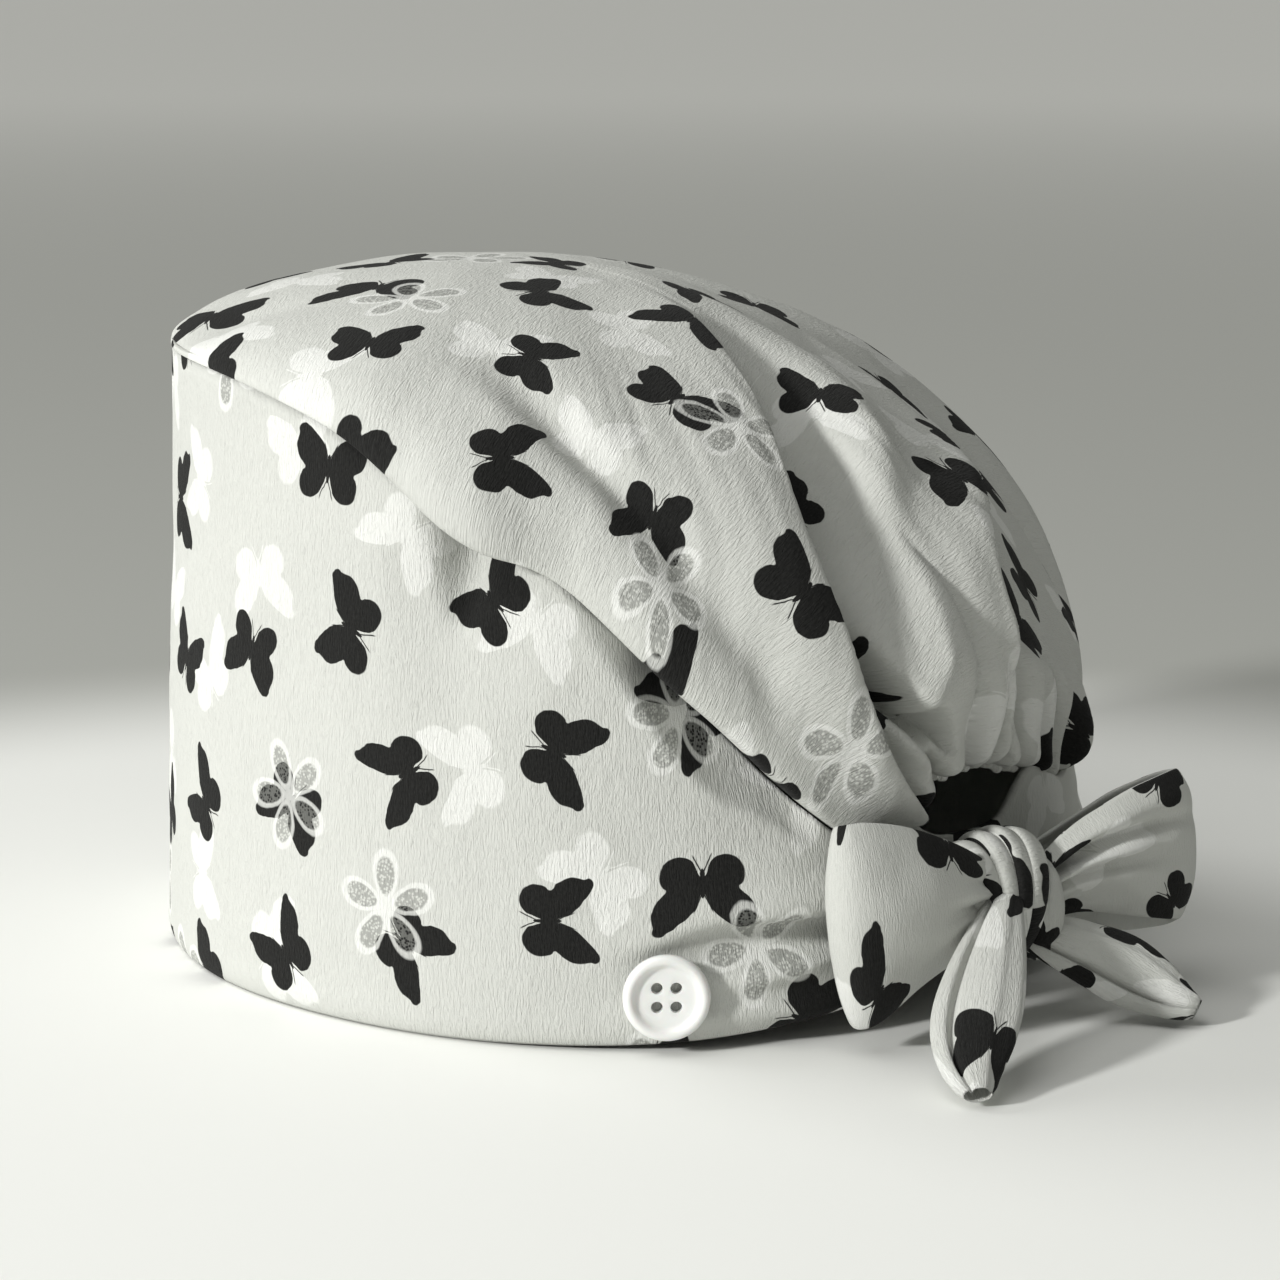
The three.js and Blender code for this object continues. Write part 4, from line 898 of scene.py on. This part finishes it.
resin, tree, shader = new_finish("white_resin")
coordinates = tree.nodes.new("ShaderNodeTexCoord")
cloudy = tree.nodes.new("ShaderNodeTexNoise")
tree.links.new(coordinates.outputs["Object"], cloudy.inputs["Vector"])
cloudy.inputs["Scale"].default_value = 300
tree.links.new(mix(tree, cloudy.outputs[0], RESIN_GREY, RESIN_WHITE), shader.inputs["Base Color"])
tree.links.new(sums(tree, "MULTIPLY_ADD", cloudy.outputs[0], 0.12, 0.26), shader.inputs["Roughness"])
shader.inputs["Coat Weight"].default_value = 0.2
shader.inputs["Subsurface Weight"].default_value = 0.08
shader.inputs["Subsurface Scale"].default_value = 0.002

for name, sign in (("near", 1), ("far", -1)):
    bm = bmesh.new()
    profile = [bm.verts.new((BUTTON_DIAMETER / 2 * r * MM, 0, BUTTON_THICKNESS * h * MM))
               for r, h in BUTTON_PROFILE]
    line = [bm.edges.new(pair) for pair in zip(profile, profile[1:])]
    bmesh.ops.spin(bm, geom=profile + line, axis=(0, 0, 1), cent=(0, 0, 0), steps=72, angle=2 * math.pi,
                   use_merge=True)
    plan = oval(np.array([sign * BUTTON_ANGLE]))[0]
    r = np.hypot(*plan)
    reach = r - LEAN * BUTTON_HEIGHT + BUTTON_STANDOFF
    outward = Vector((plan[0] / HEAD_WIDTH**2, plan[1] / HEAD_LENGTH**2, 0)).normalized()
    outward = Vector((outward.x, outward.y, LEAN)).normalized()
    seat = Matrix.Translation(Vector((plan[0] * reach / r, plan[1] * reach / r, BUTTON_HEIGHT)) * MM)
    turn = outward.to_track_quat("Z", "Y").to_matrix().to_4x4()
    button = cloth_piece(bm, f"button_disc_{name}", [resin], (0, 0, 0))
    holes = bmesh.new()
    for x in (-0.5, 0.5):
        for y in (-0.5, 0.5):
            hole = HOLE_DIAMETER / 2 * MM
            place = Matrix.Translation((x * HOLE_SPACING * MM, y * HOLE_SPACING * MM, 0))
            bmesh.ops.create_cone(holes, cap_ends=True, segments=24, radius1=hole, radius2=hole,
                                  depth=10 * MM, matrix=place)
    drill_mesh = bpy.data.meshes.new("drill")
    holes.to_mesh(drill_mesh)
    holes.free()
    drill = placed("drill", drill_mesh)
    cut = button.modifiers.new("holes", "BOOLEAN")
    cut.object = drill
    rounded = button.modifiers.new("rounded", "BEVEL")
    rounded.width = BUTTON_EDGE * MM
    rounded.segments = 2
    rounded.angle_limit = math.radians(50)
    bpy.context.view_layer.update()
    made = bpy.data.meshes.new_from_object(button.evaluated_get(bpy.context.evaluated_depsgraph_get()))
    button.modifiers.clear()
    button.data = made
    made.transform(seat @ turn)
    made.name = button.name
    bpy.data.objects.remove(drill)
    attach(button, "root")
    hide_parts(f"button_{name}")

# The table: a plain matt top whose paint holds painted light and shade. It is pale round the cap, a painted
# pool of light, and darkens away from the cap to a grey ring of painted shade that stands in for the dim room
# behind. Far off it is lighter again, painted light against the lamps' falloff.
FLOOR_REACH = 60.0      # lengths here are in metres
LIT_POOL_CENTRE = (0.092, 0.077, 0)
LIT_POOL_PAINT = (0.87, 0.875, 0.85, 1)
LIT_POOL_ENDS = (0.30, 0.44)        # the painted pool of light fades out between these distances from the centre
SHADE_RING_PAINT = (0.41, 0.415, 0.39, 1)
SHADE_RING_ENDS = (0.6, 6.0)          # the grey ring of painted shade fades into the far painted light between these
FAR_LIGHT_PAINT = (0.70, 0.70, 0.67, 1)
bm = bmesh.new()
bmesh.ops.create_circle(bm, cap_ends=True, segments=96, radius=FLOOR_REACH)
floor_mesh = bpy.data.meshes.new("floor")
bm.to_mesh(floor_mesh)
bm.free()
floor = placed("floor", floor_mesh)
floor_mesh.transform(Matrix.Translation((0, 0, -0.0001)))
paint, tree, shader = new_finish("table_painted_light")
coordinates = tree.nodes.new("ShaderNodeTexCoord")
offset = node(tree, "ShaderNodeVectorMath", coordinates.outputs["Object"], LIT_POOL_CENTRE, operation="SUBTRACT")
measured = tree.nodes.new("ShaderNodeVectorMath")
measured.operation = "LENGTH"
tree.links.new(offset, measured.inputs[0])
off_lit_pool, off_shade_ring = (node(tree, "ShaderNodeMapRange", measured.outputs["Value"], *ends,
                           interpolation_type="SMOOTHSTEP") for ends in (LIT_POOL_ENDS, SHADE_RING_ENDS))
# Painted light and shade in the table's colour: a pale pool round the cap, a grey ring of painted shade,
# lighter paint far off
grey = mix(tree, off_shade_ring, SHADE_RING_PAINT, FAR_LIGHT_PAINT)
tree.links.new(mix(tree, off_lit_pool, LIT_POOL_PAINT, grey), shader.inputs["Base Color"])
shader.inputs["Roughness"].default_value = 0.75
floor.data.materials.append(paint)

# Light: a soft lamp low to the left of the view, a wide weak one in front of the cap, a weak one from
# the ceiling, and a pale room that fills the shadows.
TARGET = Vector((-0.003, 0.0037, 0.061))    # the middle of the view, in metres
LAMP_DISTANCE = 2.2
LAMP_COLOUR = (1.0, 1.0, 0.98)
ROOM_COLOUR = (0.74, 0.75, 0.71, 1)


def outward_at(azimuth, elevation):
    """The direction from the view's middle at that angle round the cap and above the table."""
    a, e = math.radians(azimuth), math.radians(elevation)
    return Vector((math.sin(a) * math.cos(e), -math.cos(a) * math.cos(e), math.sin(e)))


def lamp(name, kind, azimuth, elevation, energy):
    data = bpy.data.lights.new(name, kind)
    data.energy = energy
    data.color = LAMP_COLOUR
    made = placed(name, data)
    direction = outward_at(azimuth, elevation)
    made.location = TARGET + direction * LAMP_DISTANCE
    made.rotation_euler = direction.to_track_quat("Z", "Y").to_euler()
    return data


key = lamp("key", "AREA", azimuth=79, elevation=22, energy=40)
key.shape = "DISK"
key.size = 0.26
window = lamp("window", "SUN", azimuth=14, elevation=34, energy=1.1)
window.angle = math.radians(30)
ceiling = lamp("ceiling", "SUN", azimuth=75, elevation=66, energy=0.68)
ceiling.angle = math.radians(40)
world = bpy.data.worlds.new("room")
bpy.context.scene.world = world
world.use_nodes = True
world.node_tree.nodes["Background"].inputs["Color"].default_value = ROOM_COLOUR
world.node_tree.nodes["Background"].inputs["Strength"].default_value = 0.27
bpy.context.scene.view_settings.view_transform = "Standard"

# The camera: it looks from the wearer's left and behind, about 200 mm over the table, as the
# photograph does.
CAMERA_AZIMUTH = 130
CAMERA_ELEVATION = 10.5
CAMERA_DISTANCE = 0.745
lens = bpy.data.cameras.new("camera")
lens.lens = 100
lens.sensor_width = 36
camera = placed("camera", lens)
look_from = outward_at(CAMERA_AZIMUTH, CAMERA_ELEVATION)
camera.location = TARGET + look_from * CAMERA_DISTANCE
camera.rotation_euler = look_from.to_track_quat("Z", "Y").to_euler()
bpy.context.scene.camera = camera
